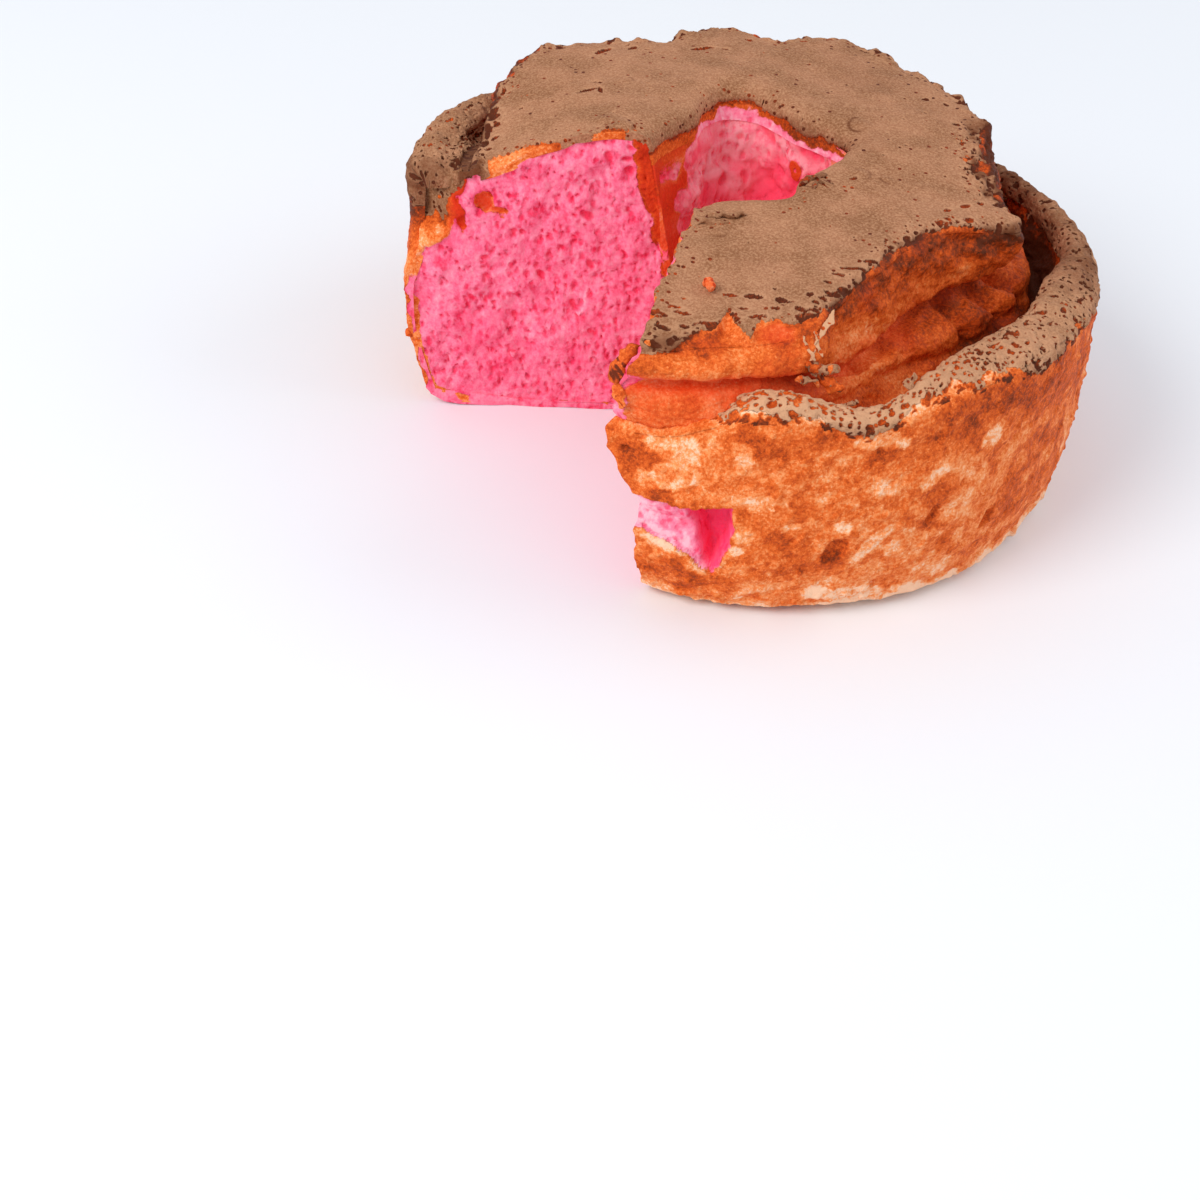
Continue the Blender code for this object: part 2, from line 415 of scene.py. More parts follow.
def addBand(rows, weight, stand, **marks):
    relief[:, rows] += stand * weight
    for name, value in marks.items():
        if name in ("skin", "pit"):
            finish[name][:, rows] = np.maximum(finish[name][:, rows], value)
        else:
            finish[name][:, rows] += value * weight


# Lets the crumb show on some rows as far as they are bare.
def layBare(rows, bare):
    finish["torn"][:, rows] = np.maximum(finish["torn"][:, rows], bare)


# Value of a curve given by azimuth: value pairs, on straight lines between them.
def keyed(pairs, at):
    keys = np.array(sorted(pairs), float)
    return np.interp(at, keys, np.array([pairs[k] for k in sorted(pairs)], float))


# Spots given as (azimuth, height, length, width, turn), with millimetres round the wall for the azimuth.
def onWall(spots):
    return [(math.radians(a % 360 + (360 if a < 200 else 0)) * wallArc, *rest) for a, *rest in spots]


wallCrust = {
    "lumps": [(0.9, 26, 1), (0.45, 7.5, 2), (0.3, 2.6, 3), (0.2, 1.25, 4)],    # height, size, seed
    "shred": 2.0, "shredSize": 2.6,
    # Dents: azimuth, height, length, width, turn.
    "dents": [
        (284, 31, 12, 6.5, 62), (299.7, 40.5, 8.5, 3.4, 60), (311.9, 29.7, 9, 3.8, 55),
        (291.5, 13, 4, 2.4, 80), (254.2, 66, 3.4, 1.8, 10), (251.8, 60, 3.4, 2.4, 20),
        (345, 44, 6, 3, 70), (20, 36, 7, 3.4, 60), (52, 52, 6, 3, 40), (83, 27, 9, 4, 70),
        (112, 48, 6, 3, 50), (140, 33, 8, 3.6, 60), (168, 56, 6, 3, 45),
    ],
    "dentDepth": 2.1,
    "footPale": {250: 0.5, 280: 0.7, 286: 1.7, 310: 1.6, 325: 1.0, 400: 0.5, 460: 0.8, 547: 0.5},
    # Under-baked patches: azimuth, height, length, width, turn.
    "palePatches": [
        (259, 66, 22, 12, -10), (259.5, 55, 15, 9, 20), (290, 34, 16, 5, 48), (293.5, 70.2, 4.6, 4.6, 0),
        (285, 41.4, 6, 3.4, 0), (269.7, 66.5, 9, 6, -40), (300, 56, 16, 5, 18), (277, 41, 11, 4, 10),
        (270.9, 50, 7, 3.6, 0), (269.6, 30, 8, 3.4, 10), (286, 10.7, 36, 7, -3), (310, 64, 9, 6, 40),
        (290, 72, 12, 4, 10), (30, 55, 18, 6, 15), (70, 30, 22, 7, 25), (100, 62, 14, 6, -10),
        (130, 20, 26, 8, 0), (155, 45, 18, 8, 30), (178, 30, 14, 6, 50),
    ],
}
# The hole torn in the crust at the near end, as (millimetres from the end, height).
tornHollow = {
    "outline": [
        (-14, 31), (2.8, 31), (8, 29.5), (13, 27.5), (17.8, 24.6), (20.5, 20.5), (24.5, 18.5), (28, 24),
        (31.2, 35), (31, 46.5), (17.5, 44), (6, 44), (-14, 45),
    ],
    "deepLine": [(15.5, 46), (22.5, 18)],   # the deep part lies beyond the line through these
    "crust": 1.8, "slope": 3.6, "deep": 9.5, "rough": 0.9,
}


def dressWall():
    rows, weight = bandRows("wall")
    p, z = plain[:, rows], height[:, rows]
    u = np.radians(azimuth[:, rows]) * wallArc
    w = wallCrust
    stand = lumpy(p, *w["lumps"])
    foot = smooth(16, 3, z)
    shreds = np.clip(lumps(p, w["shredSize"], 5) - 0.52 + 0.22 * foot, 0, 1)
    stand += w["shred"] * shreds
    ragged = 0.5 * lumps(p, 2.2, 6)
    dent = slits(u, z, onWall(w["dents"]), 0.6 * ragged)
    stand -= w["dentDepth"] * smooth(-0.3, 1.0, dent)
    rimOfDent = np.exp(-((dent - 0.15) / 0.45) ** 2)
    small = pits(u, z, 9.0, 0.2, 7, 0.14) + 0.3 * ragged
    stand -= 0.6 * smooth(-0.3, 0.4, small)
    stand += foot * lumpy(p, (0.8, 7, 20), (0.7, 3, 19))
    streak = lumps(np.stack([u * 0.5, z, np.zeros_like(u)], -1), 6, 8)
    pale = smooth(-0.4, 0.6, slits(u, z, onWall(w["palePatches"]), 1.6 * lumps(p, 5, 9) + 0.9 * ragged))
    pale = np.clip(0.8 * pale + 0.4 * smooth(0.2, 0.45, streak + 0.35 * lumps(p, 2, 10)), 0, 1)
    footPale = keyed(w["footPale"], azimuth[:, rows]) + 0.3 * lumps(p, 14, 97)
    pale = np.maximum(pale, footPale * smooth(8, 1, z + lumpy(p, (5, 9, 13), (3, 3, 98))))
    toast = 0.4 + 0.1 * roughness(p, 10, 2, 12) + 0.08 * lumps(p, 3.2, 11)
    toast += 0.15 * smooth(-0.12, 0.12, lumpy(p, (1, 6, 86), (0.6, 2.4, 87)))
    toast += 0.12 * smooth(50, 78, z) - 0.22 * foot
    toast += 0.16 * smooth(269, 262, azimuth[:, rows]) * smooth(42, 30, z)
    # Dents and small pits are drawn darker, most on their rims, as painted shade in these hollows.
    toast += 0.1 * smooth(-0.4, 0.9, np.maximum(dent, small)) + 0.16 * rimOfDent
    stand -= 4.0 * roundedOver(fromFarCut[:, rows], 8) * smooth(52, 66, z)
    toast += 0.42 * smooth(16, 5, fromFarCut[:, rows]) * smooth(62, 80, z)
    pale *= 1 - smooth(14, 5, fromFarCut[:, rows]) * smooth(60, 72, z)
    skin, pit, lift = rimSkin(rows)
    addBand(rows, weight, stand + lift, skin=skin, pit=np.where(skin > -1, pit, -9), toast=toast, pale=pale)
    # The torn hollow.
    t = tornHollow
    v = np.radians(azimuth[:, rows] - cakeShape["cutStart"]) * wallArc
    rough = lumpy(p, (0.7, 4, 14), (0.5, 1.6, 15))
    inside = insideOutline(v, z, t["outline"]) + t["rough"] * rough
    (ax, ay), (bx, by) = t["deepLine"]
    beyond = ((v - ax) * (ay - by) - (z - ay) * (ax - bx)) / math.hypot(bx - ax, by - ay)
    beyond += 0.9 * lumps(p, 3, 16)
    sink = t["crust"] * smooth(-0.3, 0.6, inside) + t["slope"] * smooth(0, 13, inside)
    sink += t["deep"] * smooth(-0.5, 3.5, beyond) * smooth(0, 2.2, inside)
    sink += 0.5 * smooth(0, 1, inside) * roughness(p, 3, 2, 17)
    relief[:, rows] -= sink + smooth(0, 1, inside) * stand * weight
    layBare(rows, smooth(-0.25, 0.35, inside))
    # The deep back of the hollow is drawn magenta as painted shade, and its lower slope is drawn whiter as
    # painted light.
    finish["red"][:, rows] += 0.85 * smooth(-1.0, 1.6, beyond) * smooth(-0.4, 0.3, inside)
    litSlope = 0.45 + 0.6 * smooth(-6, -13, beyond) + 0.4 * smooth(34, 28, z)
    finish["pale"][:, rows] += litSlope * smooth(0.3, 1.5, inside) * smooth(1.0, -3, beyond)
    hem = window(inside, -4.5, -0.3, 0, 0.4)
    hem *= smooth(36, 31, z) * smooth(3, -1, beyond)
    finish["pale"][:, rows] += 1.1 * hem
    finish["pit"][:, rows] = np.where(inside > 0.5, pits(v, z, 3.0, 0.5, 18, 0.34), finish["pit"][:, rows])


collarRim = {
    "outerReach": {
        547: 16, 536: 10, 525: 9, 500: 10, 472: 6, 450: 11, 420: 8, 380: 12, 350: 9, 335: 6, 325: 9,
        318: 8, 311: 4, 304: 1.5, 298: 0, 294: 2, 290: 4, 285: 4.5, 281: 5, 276: 5, 272: 4.5, 269: 2,
        266.5: 0.5, 265: -4, 262: -7, 250: -7,
    },
    "innerReach": {
        547: 9, 525: 5, 450: 3, 380: 1, 360: -1, 357: -1.5, 354.5: -5, 345: -5, 342: -0.5, 330: 3, 310: 5,
        300: 4.5, 292: 2.5, 286: 1.5, 281: 4, 276: 6.5, 268: 6, 264: -2, 250: -4,
    },
    "uneven": {250: 0.6, 300: 0.8, 318: 2.2, 340: 3.0, 400: 2.4, 510: 3.0, 547: 3.5},
    "ragged": {250: 1.9, 268: 1.4, 284: 1.6, 292: 2.2, 300: 1.7, 330: 1.9, 520: 2.1, 547: 3.2},
    "sparse": {250: 0, 305: 0, 330: 0.1, 360: 0.15, 547: 0.3},    # fewer pits on the outer side
    "paleness": {250: 0.15, 264: 0.2, 269: 0.75, 296: 0.65, 310: 0.35, 335: 0.2, 350: 0.0, 380: 0, 547: 0},
    "dark": {250: 0.1, 290: 0.2, 320: 0.4, 345: 0.9, 380: 1.0, 450: 0.9, 547: 0.9},
    # painted shade on the side in the crack, by azimuth
    "thick": 0.8,
}


# The rim's skin on any rows: how far inside it a point lies, its pits, and how far it stands out.
def rimSkin(rows):
    p, az = plain[:, rows], azimuth[:, rows]
    c = collarRim
    rough = lumpy(p, (1, 6.5, 21), (0.6, 2.6, 22), (0.4, 1.2, 23))
    outer = lengthFrom("rimOutside")[:, rows] + keyed(c["outerReach"], az)
    outer += 1.6 * lumps(p, 9, 24) + keyed(c["uneven"], az) * lumpy(p, (1, 5, 26), (0.6, 2, 27))
    inner = keyed(c["innerReach"], az) - lengthFrom("rimInside")[:, rows]
    skin = np.clip(np.minimum(outer, inner) + keyed(c["ragged"], az) * rough, -9, 6)
    u, v = around100[:, rows] * 1.12, lengthFrom("rimInside")[:, rows]
    holes = np.maximum(pits(u * 0.75, v, 4.6, 0.5, 25, 0.3), pits(u * 0.85, v, 3.0, 0.7, 28, 0.33))
    holes = np.maximum(holes, pits(u * 0.95, v, 2.2, 0.8, 29, 0.36))
    sparse = keyed(c["sparse"], az) * smooth(3, -4, v)
    pit = holes + 0.22 * rough - sparse
    lift = smooth(-0.2, 0.7, skin) * (c["thick"] - 1.0 * smooth(-0.15, 0.35, pit))
    return skin, pit, lift


def dressCollar():
    rows, weight = bandRows("collar")
    p, az = plain[:, rows], azimuth[:, rows]
    c = collarRim
    skin, pit, lift = rimSkin(rows)
    v = lengthFrom("rimInside")[:, rows]
    crag = lumpy(p, (0.7, 4.5, 31), (0.45, 2.2, 32), (0.25, 1.1, 33))
    crag += 1.8 * smooth(312, 345, az) * lumps(p, 9, 38) * smooth(-6, 2, v)
    inside = smooth(2, 14, v)
    stand = -5.0 * roundedOver(fromFarCut[:, rows], 9) * (1 - inside) + 0.8 * lumps(p, 15, 30) + crag + lift
    stand += inside * lumpy(p, (1.3, 8, 34), (0.6, 3.4, 35))
    edge = window(skin, -1.5, 0, 0.2, 1.4)
    pale = 0.5 * edge * smooth(-0.2, 0.6, lumps(p, 7, 36)) + keyed(c["paleness"], az) * (1 - inside)
    dark = keyed(c["dark"], az)
    # The side in the crack is drawn darker as painted shade; where less of it is drawn, it shows moist red.
    toast = 0.4 + 0.2 * lumps(p, 8, 37) + 0.85 * inside * dark
    toast += 0.42 * window(az, 335, 350, 400, 430)
    toast += 0.12 * smooth(268, 263, az) + 0.1 * lumps(p, 3, 39)
    toast += 0.42 * smooth(16, 5, fromFarCut[:, rows]) * (1 - inside)
    red = inside * (1 - dark) * 0.6
    addBand(rows, weight, stand, skin=skin, pit=np.where(skin > -3, pit, -9), toast=toast, pale=pale, red=red)


foldCrust = {
    "tornEnd": 3.5, "closedFrom": 518, "closedTo": 532,
    "swell": 1.5, "wrinkle": 0.9, "grain": 0.34, "creaseDepth": 3.6,
    "overhang": 1.2,
    # How far down the painted shade under the cap reaches, and how red and toasted the crease and the folds
    # are.
    "darkReach": {250: 4, 262: 6, 272: 3, 282: 5, 288: 14, 300: 18, 320: 16, 345: 16, 380: 12, 547: 8},
    "creaseRed": {250: 0.6, 268: 0.9, 278: 1.5, 290: 0.6, 350: 0.4, 547: 0.4},
    "foldRed": {250: 0.5, 275: 0.9, 286: 0.4, 294: 0.1, 547: 0.0},
    "foldToast": {250: 0, 302: 0, 318: 0.1, 335: 0.16, 352: 0, 547: 0},
    # Deeper folds that run up the slope: azimuth, width, depth.
    "gathers": [
        (331, 3.4, 5.0), (341, 3.6, 5.5), (350, 3.6, 4.5), (311, 4, 1.6), (293, 4, 1.4), (380, 5, 4.5),
        (408, 6, 4.5), (437, 5, 5), (464, 6, 4), (510, 6, 4),
    ],
}


def dressFolds():
    rows, weight = bandRows("folds")
    p, az, s = plain[:, rows], azimuth[:, rows], corner[:, rows]
    f = foldCrust
    flow = np.stack([around100[:, rows] * 0.35, radius[:, rows], height[:, rows]], -1)
    stand = f["swell"] * lumps(flow, 12, 41) + f["wrinkle"] * roughness(flow, 4.5, 2, 42)
    stand += 0.5 * lumps(p, 6, 44) + f["grain"] * roughness(p, 1.8, 2, 45)
    fromCrease = lengthFrom("crease")[:, rows] + 3.0 + lumpy(p, (1.8, 20, 46), (0.6, 6, 53))
    stand -= f["creaseDepth"] * np.exp(-(fromCrease / 1.5) ** 2)
    stand += f["overhang"] * np.exp(-((fromCrease - 4.0) / 3) ** 2)
    fromFissure = lengthFrom("fissure")[:, rows] + 1.5 * lumps(p, 12, 47)
    stand -= 0.8 * np.exp(-(fromFissure / 1.5) ** 2)
    lower = window(s, 12.2, 13.2, 14.5, 15.3)
    for middle, width, depth in f["gathers"]:
        away = (np.radians(az - middle) * 90 + 2.5 * lumps(p, 13, 48)) / width
        stand -= depth * lower * np.exp(-away ** 2)
    band = smooth(14.7, 15.5, s)
    stand += band * lumpy(p, (0.5, 4, 54), (0.4, 1.7, 55))
    below = -lengthFrom("capEdge")[:, rows]
    darkReach = keyed(f["darkReach"], az)
    # Painted shade under the cap's overhanging edge: the band is drawn darker close below it.
    shade = smooth(1.25, 0, (below + 4 * lumps(p, 6, 49)) / darkReach)
    toast = (0.3 + 0.2 * lumps(p, 2.6, 56)) * band * shade
    toast += 0.48 + 0.14 * roughness(p, 8, 2, 50) - 0.07 * smooth(286, 272, az) * (1 - band)
    toast += keyed(f["foldToast"], az) * (1 - band)
    # Painted shade deep in the crack at the back, darkest beside the fissure.
    crackShade = smooth(300, 350, az)
    toast += crackShade * 0.12 + 0.5 * crackShade * smooth(13.4, 12.0, s)
    red = 0.75 * np.exp(-(fromCrease / 4) ** 2) * keyed(f["creaseRed"], az)
    red += (1 - band) * keyed(f["foldRed"], az)
    red += 0.25 * lumps(p, 10, 51)
    pale = band * 0.45 * np.exp(-((below - 17) / 4) ** 2) * smooth(-0.3, 0.5, lumps(p, 8, 52))
    # Towards the far cut the crack closes, and the skin runs over it with burnt patches.
    closed = smooth(f["closedFrom"], f["closedTo"], az + 6 * lumps(p, 9, 59))
    skin = mix(-9, 3, closed) + lumpy(p, (2.2, 6, 83), (1, 2.4, 84))
    track = np.exp(-((s - 12.9 + 0.7 * lumps(p, 6, 99)) / 0.9) ** 2)
    burnt = 0.5 * smooth(0.1, 0.5, lumpy(p, (1, 8, 85), (0.4, 2.6, 86)))
    burnt += 1.2 * track * smooth(-0.45, 0.1, lumpy(p, (1, 5, 17), (0.5, 2, 18)))
    burnt = closed * np.clip(burnt, 0, 1)
    holes = np.maximum(pits(around100[:, rows], radius[:, rows], 4.6, 0.5, 87, 0.32),
                       pits(around100[:, rows], radius[:, rows], 2.6, 0.6, 88, 0.34))
    addBand(rows, weight, stand * (1 - 0.6 * closed), skin=skin, pit=np.where(closed > 0.3, holes, -9),
            toast=toast + 0.6 * burnt, red=np.clip(red, 0, 1) * (1 - closed), pale=pale)
    # The folds are torn open at the near cut.
    fromEnd = fromNearCut[:, rows] + lumpy(p, (2.4, 5, 57), (1, 2, 58))
    bare = smooth(f["tornEnd"] + 2, f["tornEnd"] - 1, fromEnd)
    bare *= window(s, 10.5, 12, 14.4, 15.2)
    layBare(rows, bare)
    finish["red"][:, rows] *= 1 - 0.75 * bare
    finish["pale"][:, rows] = mix(finish["pale"][:, rows], 0.4, bare)


capCrust = {
    # How far the skin draws back from the cap's edge, or hangs over it where this is negative.
    "drawnBack": {
        250: -4, 256: -4, 257.5: -3, 259: 0, 260: 2.5, 261.5: 4, 263.5: 4.5, 264.8: 7, 265.8: 12,
        266.6: 11, 267.4: 7, 268.6: 2.5, 270.2: -0.5, 270.8: 2.5, 271.3: 5.5, 273: 6, 275: 5.5, 276.5: 4,
        278: 2, 281: 2, 284: 1.5, 288: 0, 290: -0.5, 300: 0, 312: 0.6, 322: -0.5, 335: 0, 340: -1.5,
        344: -3.5, 346.5: -3, 348.5: 3, 351: 8.5, 358: 8, 372: 9, 381: 8, 387: 4, 392: 0, 410: -1,
        440: 0.5, 470: -1, 500: 0, 515: 0, 530: -4, 547: -5,
    },
    # How far the skin runs over the hole's lip.
    "intoHole": {
        250: 4.8, 262: 4.8, 275: 2.8, 292: 2.8, 300: 5.2, 345: 5.2, 360: 2.2, 372: 1.4, 425: 1.2,
        475: 0.8, 492: 1.6, 547: 2.4,
    },
    # How far in from its edge the skin is pitted.
    "pitted": {
        250: 17, 256: 15, 259: 9, 263: 7, 275: 6, 284: 9, 300: 8, 320: 7, 335: 11, 350: 10, 380: 9,
        520: 9, 547: 12,
    },
    "ragged": 0.9, "thick": 0.7, "bite": 2.6,
    # Slits in the skin: azimuth, radius, length, width, turn.
    "slits": [
        (262.4, 101.5, 5, 1.3, 4), (259.2, 104.2, 4, 1.4, -4), (255.4, 106.5, 5.5, 1.5, 0),
        (268.8, 92.2, 4.5, 1.3, 6), (274.8, 92.0, 3.4, 1.5, 12), (279.4, 92.6, 3, 1.5, 30),
        (284.6, 88.2, 3.2, 1.5, 30), (286.4, 85.4, 4, 1.3, 24), (266.2, 86.4, 5, 1.4, 3),
        (270.8, 86.2, 5.6, 2.1, 4), (276.2, 88.4, 4, 2.4, 20), (282.2, 86.2, 2.8, 1.6, 0),
        (257.9, 98.4, 5.5, 1.7, 0), (253.9, 101.6, 7.5, 1.5, -6), (256.4, 96.4, 5, 1.2, 0),
        (257.2, 91.5, 3, 1.0, 0), (260.6, 108.2, 5, 1.2, 8), (271.5, 96.0, 5.0, 1.4, 0),
        (279.6, 96.8, 4.2, 1.6, 25), (282.2, 93.5, 3.6, 1.4, 35), (290.6, 77.6, 3.6, 1.0, 20),
        (287.2, 80.6, 3.0, 1.2, 25), (295.4, 75.8, 9, 1.5, 14), (300.4, 73.6, 5, 1.3, 8),
        (338.2, 69.8, 4.4, 1.4, 20), (343.4, 74.0, 4.2, 1.8, 30), (346.8, 78.4, 3, 1.6, 15),
        (311, 29, 3, 1.3, 30), (317, 31.5, 3, 1.4, 50), (323, 32.5, 2.4, 1.1, 20), (326, 29.5, 2, 1.1, 0),
        (336, 37, 3.4, 1.2, 10), (253.5, 49, 4, 1.1, 10), (259, 46.4, 3.4, 1.0, 0), (247, 53, 3, 1.1, 30),
        (262.2, 84.6, 1.6, 0.9, 0), (275.4, 82.4, 1.5, 0.9, 0), (283.0, 90.0, 2.6, 1.4, 40),
        (489.4, 87.6, 10, 2.4, -14), (481.5, 85.8, 4.6, 2.6, -20), (464.2, 78.6, 9.5, 3.0, -6),
        (451.2, 88.5, 3.2, 3.0, 0), (400.4, 81.5, 3.0, 2.8, 0), (386.5, 80.4, 2.6, 2.6, 0),
        (396, 85.9, 3.4, 1.4, 20), (458, 77, 4, 1.3, 30), (512.7, 66, 8, 1.9, 25),
        (510.5, 62, 5, 1.6, -30), (506, 67, 4, 1.5, 60), (536.3, 89, 3.2, 2.0, 40),
        (527.8, 92.4, 4.5, 2.6, 20), (531, 90, 3, 2, 0), (541, 90, 2.4, 1.6, 20), (525, 84, 1.6, 1.0, 0),
    ],
    # Blisters: azimuth, radius, width, height.
    "blisters": [
        (318, 31, 7, 1.0), (258, 48, 7, 0.9), (258.5, 54, 5, 0.7), (342.4, 38, 6, 0.8),
        (390.5, 43.5, 8, 0.9), (540, 45.5, 8, 1.0), (536, 51, 6, 0.7), (344, 47, 4, 0.6),
        (500, 60, 6, 0.5),
    ],
}


def dressCap():
    rows, weight = bandRows("cap")
    p, az, r = plain[:, rows], azimuth[:, rows], radius[:, rows]
    c = capCrust
    fromEdge = lengthFrom("capEdge")[:, rows]
    rough = lumpy(p, (1, 5.5, 61), (0.6, 2.3, 62), (0.4, 1.1, 63))
    behind = window(az, 352, 365, 520, 545)
    drawnBack = keyed(c["drawnBack"], az)
    skin = fromEdge - drawnBack + c["ragged"] * (1 + 1.2 * behind) * rough
    skin = np.clip(skin - behind * smooth(-0.1, 0.7, lumps(p, 7, 58)) * 2.6, -9, 9)
    holeEdge = lengthFrom("holeEdge")[:, rows]
    skin = np.minimum(skin, keyed(c["intoHole"], az) - holeEdge + 1.1 * rough + 1.6 * lumps(p, 9, 64))
    crumpled = window(az, 347, 351, 383, 392)
    crumpled *= window(fromEdge, -7, -2, 7, 11)
    skin += crumpled * (lumpy(p, (5.5, 4.5, 33), (2.5, 1.8, 34)) + 4.2)
    u, v = np.radians(az) * capArc, r
    marks = [(math.radians(a) * capArc, b, length * capArc / max(b, 40), width * 1.25, turn)
             for a, b, length, width, turn in c["slits"]]
    slit = np.where(holeEdge > -2, -9, slits(u, v, marks, 0.3 * lumps(p, 1.6, 65)))
    pulled = fromFarCut[:, rows] + 0.6 - 2.0 * smooth(62, 80, r) + 4.2 * lumps(p, 9, 67) + 1.8 * rough
    crumbled = fromNearCut[:, rows] + 0.3 + lumpy(p, (1.5, 5, 91), (1.1, 1.9, 92))
    skin = np.minimum(skin, np.minimum(pulled, crumbled))
    reach = keyed(c["pitted"], az)
    near = smooth(1, 0.25, (fromEdge - drawnBack + 3 * lumps(p, 12, 68)) / reach)
    flow = around100[:, rows] * 0.5 + 1.2 * lumps(p, 6, 57)
    large = pits(flow, v, 5.4, 0.6, 60, 0.3) - 1.5 * smooth(264, 260, az)
    specks = np.maximum(large, pits(flow, v, 3.4, 0.7, 66, 0.33))
    specks = np.maximum(specks, pits(flow, v, 2.4, 0.75, 69, 0.36)) + 0.2 * rough - (1 - near) * 1.05
    pit = np.where(skin > -0.8, np.maximum(slit + 0.05, specks), -9)
    on = smooth(-0.2, 0.6, skin)
    curl = np.exp(-((skin - 1.6) / 1.5) ** 2)
    stand = lumpy(p, (1.1, 38, 70), (0.4, 13, 71)) + 0.07 * roughness(p, 3.4, 2, 72)
    grit = smooth(7, -1, fromEdge)
    gravel = lumpy(p, (1.3, 9, 78), (0.8, 4, 73), (0.45, 1.8, 74))
    stand += grit * (1 + 0.6 * behind) * gravel
    stand += crumpled * (1.6 * lumps(p, 6, 93) + 1.5 * np.abs(lumps(p, 3.2, 94)) - 0.8)
    stand += on * (c["thick"] + 0.35 * curl) - 1.1 * on * smooth(-0.1, 0.45, pit)
    bitten = window(az, 258, 260, 277, 279)
    stand -= 2.2 * roundedOver(fromFarCut[:, rows], 8) * smooth(14, 4, fromEdge)
    stand -= c["bite"] * bitten * smooth(-0.5, 7, -skin) * smooth(5, -2, -fromEdge)
    blister = np.zeros(r.shape)
    for a, b, width, rise in c["blisters"]:
        away = np.hypot(np.radians(az - a) * b, r - b) + 0.5 * lumps(p, 3, 75)
        stand += rise * np.exp(-(away / (width * 0.42)) ** 2)
        edge = np.exp(-((away - width * 0.55) / 0.55) ** 2) * smooth(-0.5, 0.3, lumps(p, 5, 76))
        blister = np.maximum(blister, edge)
    bareEnd = smooth(-0.5, -2, skin) * bitten
    toast = 0.42 + 0.16 * bareEnd * smooth(268, 262, az) + 0.12 * bareEnd * lumps(p, 3, 89)
    toast += 0.18 * lumps(p, 22, 77) + 0.5 * blister + 0.2 * smooth(-4, 0, holeEdge)
    edgeToast = 0.3 + 0.2 * behind + 0.25 * lumps(p, 5, 79)
    toast += edgeToast * smooth(3, -1, fromEdge) * (1 - bitten)
    toast += crumpled * (0.3 + 0.3 * lumps(p, 3, 88))
    toast += 0.08 * window(az, 345, 365, 420, 450)
    toast += 0.3 * np.exp(-((skin + 0.6) / 1.1) ** 2) * smooth(-0.4, 0.5, lumps(p, 7, 80))
    nearEnd = smooth(263, 260, az) * smooth(9, 3, fromEdge)
    toast += 0.3 * nearEnd * smooth(-0.5, 0.3, lumps(p, 4, 81))
    # Round the hole the skin gives way to a ragged strip of crust and then to torn crumb.
    bare = smooth(-1.6, -4.6, skin + 1.6 * lumps(p, 6, 82)) * smooth(-6, -3, holeEdge)
    bare *= smooth(503, 497, az + 6 * rough)
    layBare(rows, bare)
    red = bareEnd * np.clip(0.9 * smooth(267, 275, az) + 0.4 * lumps(p, 6, 90), 0, 1)
    addBand(rows, weight, stand, skin=skin, pit=pit, toast=toast, pale=0.6 * bare, red=red)


dressWall()
dressCollar()
dressFolds()
dressCap()
underRows = skinGrid["rows"]["under"]
relief[:, :underRows] -= 0.4 * np.abs(lumps(plain[:, :underRows], 9, 90))
below = plain[:, :underRows]
finish["toast"][:, :underRows] += 0.3 + lumpy(below, (0.2, 12, 95), (0.1, 3, 96))
foot = slice(0, underRows + 6)
layBare(foot, smooth(5, 1, fromFarCut[:, foot]))
skinPoints = plain + plainNormal * relief[..., None]
skinPoints[..., 2] = np.maximum(skinPoints[..., 2], 0.0)
print("skin dressed, low", skinPoints.min((0, 1)).round(1), "high", skinPoints.max((0, 1)).round(1))

# The hole's own wall: a band of brown crust where the pan's tube let go cleanly, and torn crumb elsewhere.
tubeSkin = {
    "columns": 300, "rows": 150,
    "crustFrom": 505, "crustTo": 549,    # azimuths between which the crust is whole
    "chunks": [(3.4, 13, 106), (1.5, 5.2, 107), (0.75, 2.4, 108), (0.4, 1.3, 109)],
    # How far down from the cap's skin the crust hangs on.
    "hangs": {250: 3, 300: 3, 350: 2.5, 366: 2.5, 380: 3.5, 425: 3, 440: 2, 480: 2.5, 495: 5, 547: 4},
    # A round patch of crust left in the torn crumb: azimuth, height, radius.
    "spot": (419, 88, 3.2),
}


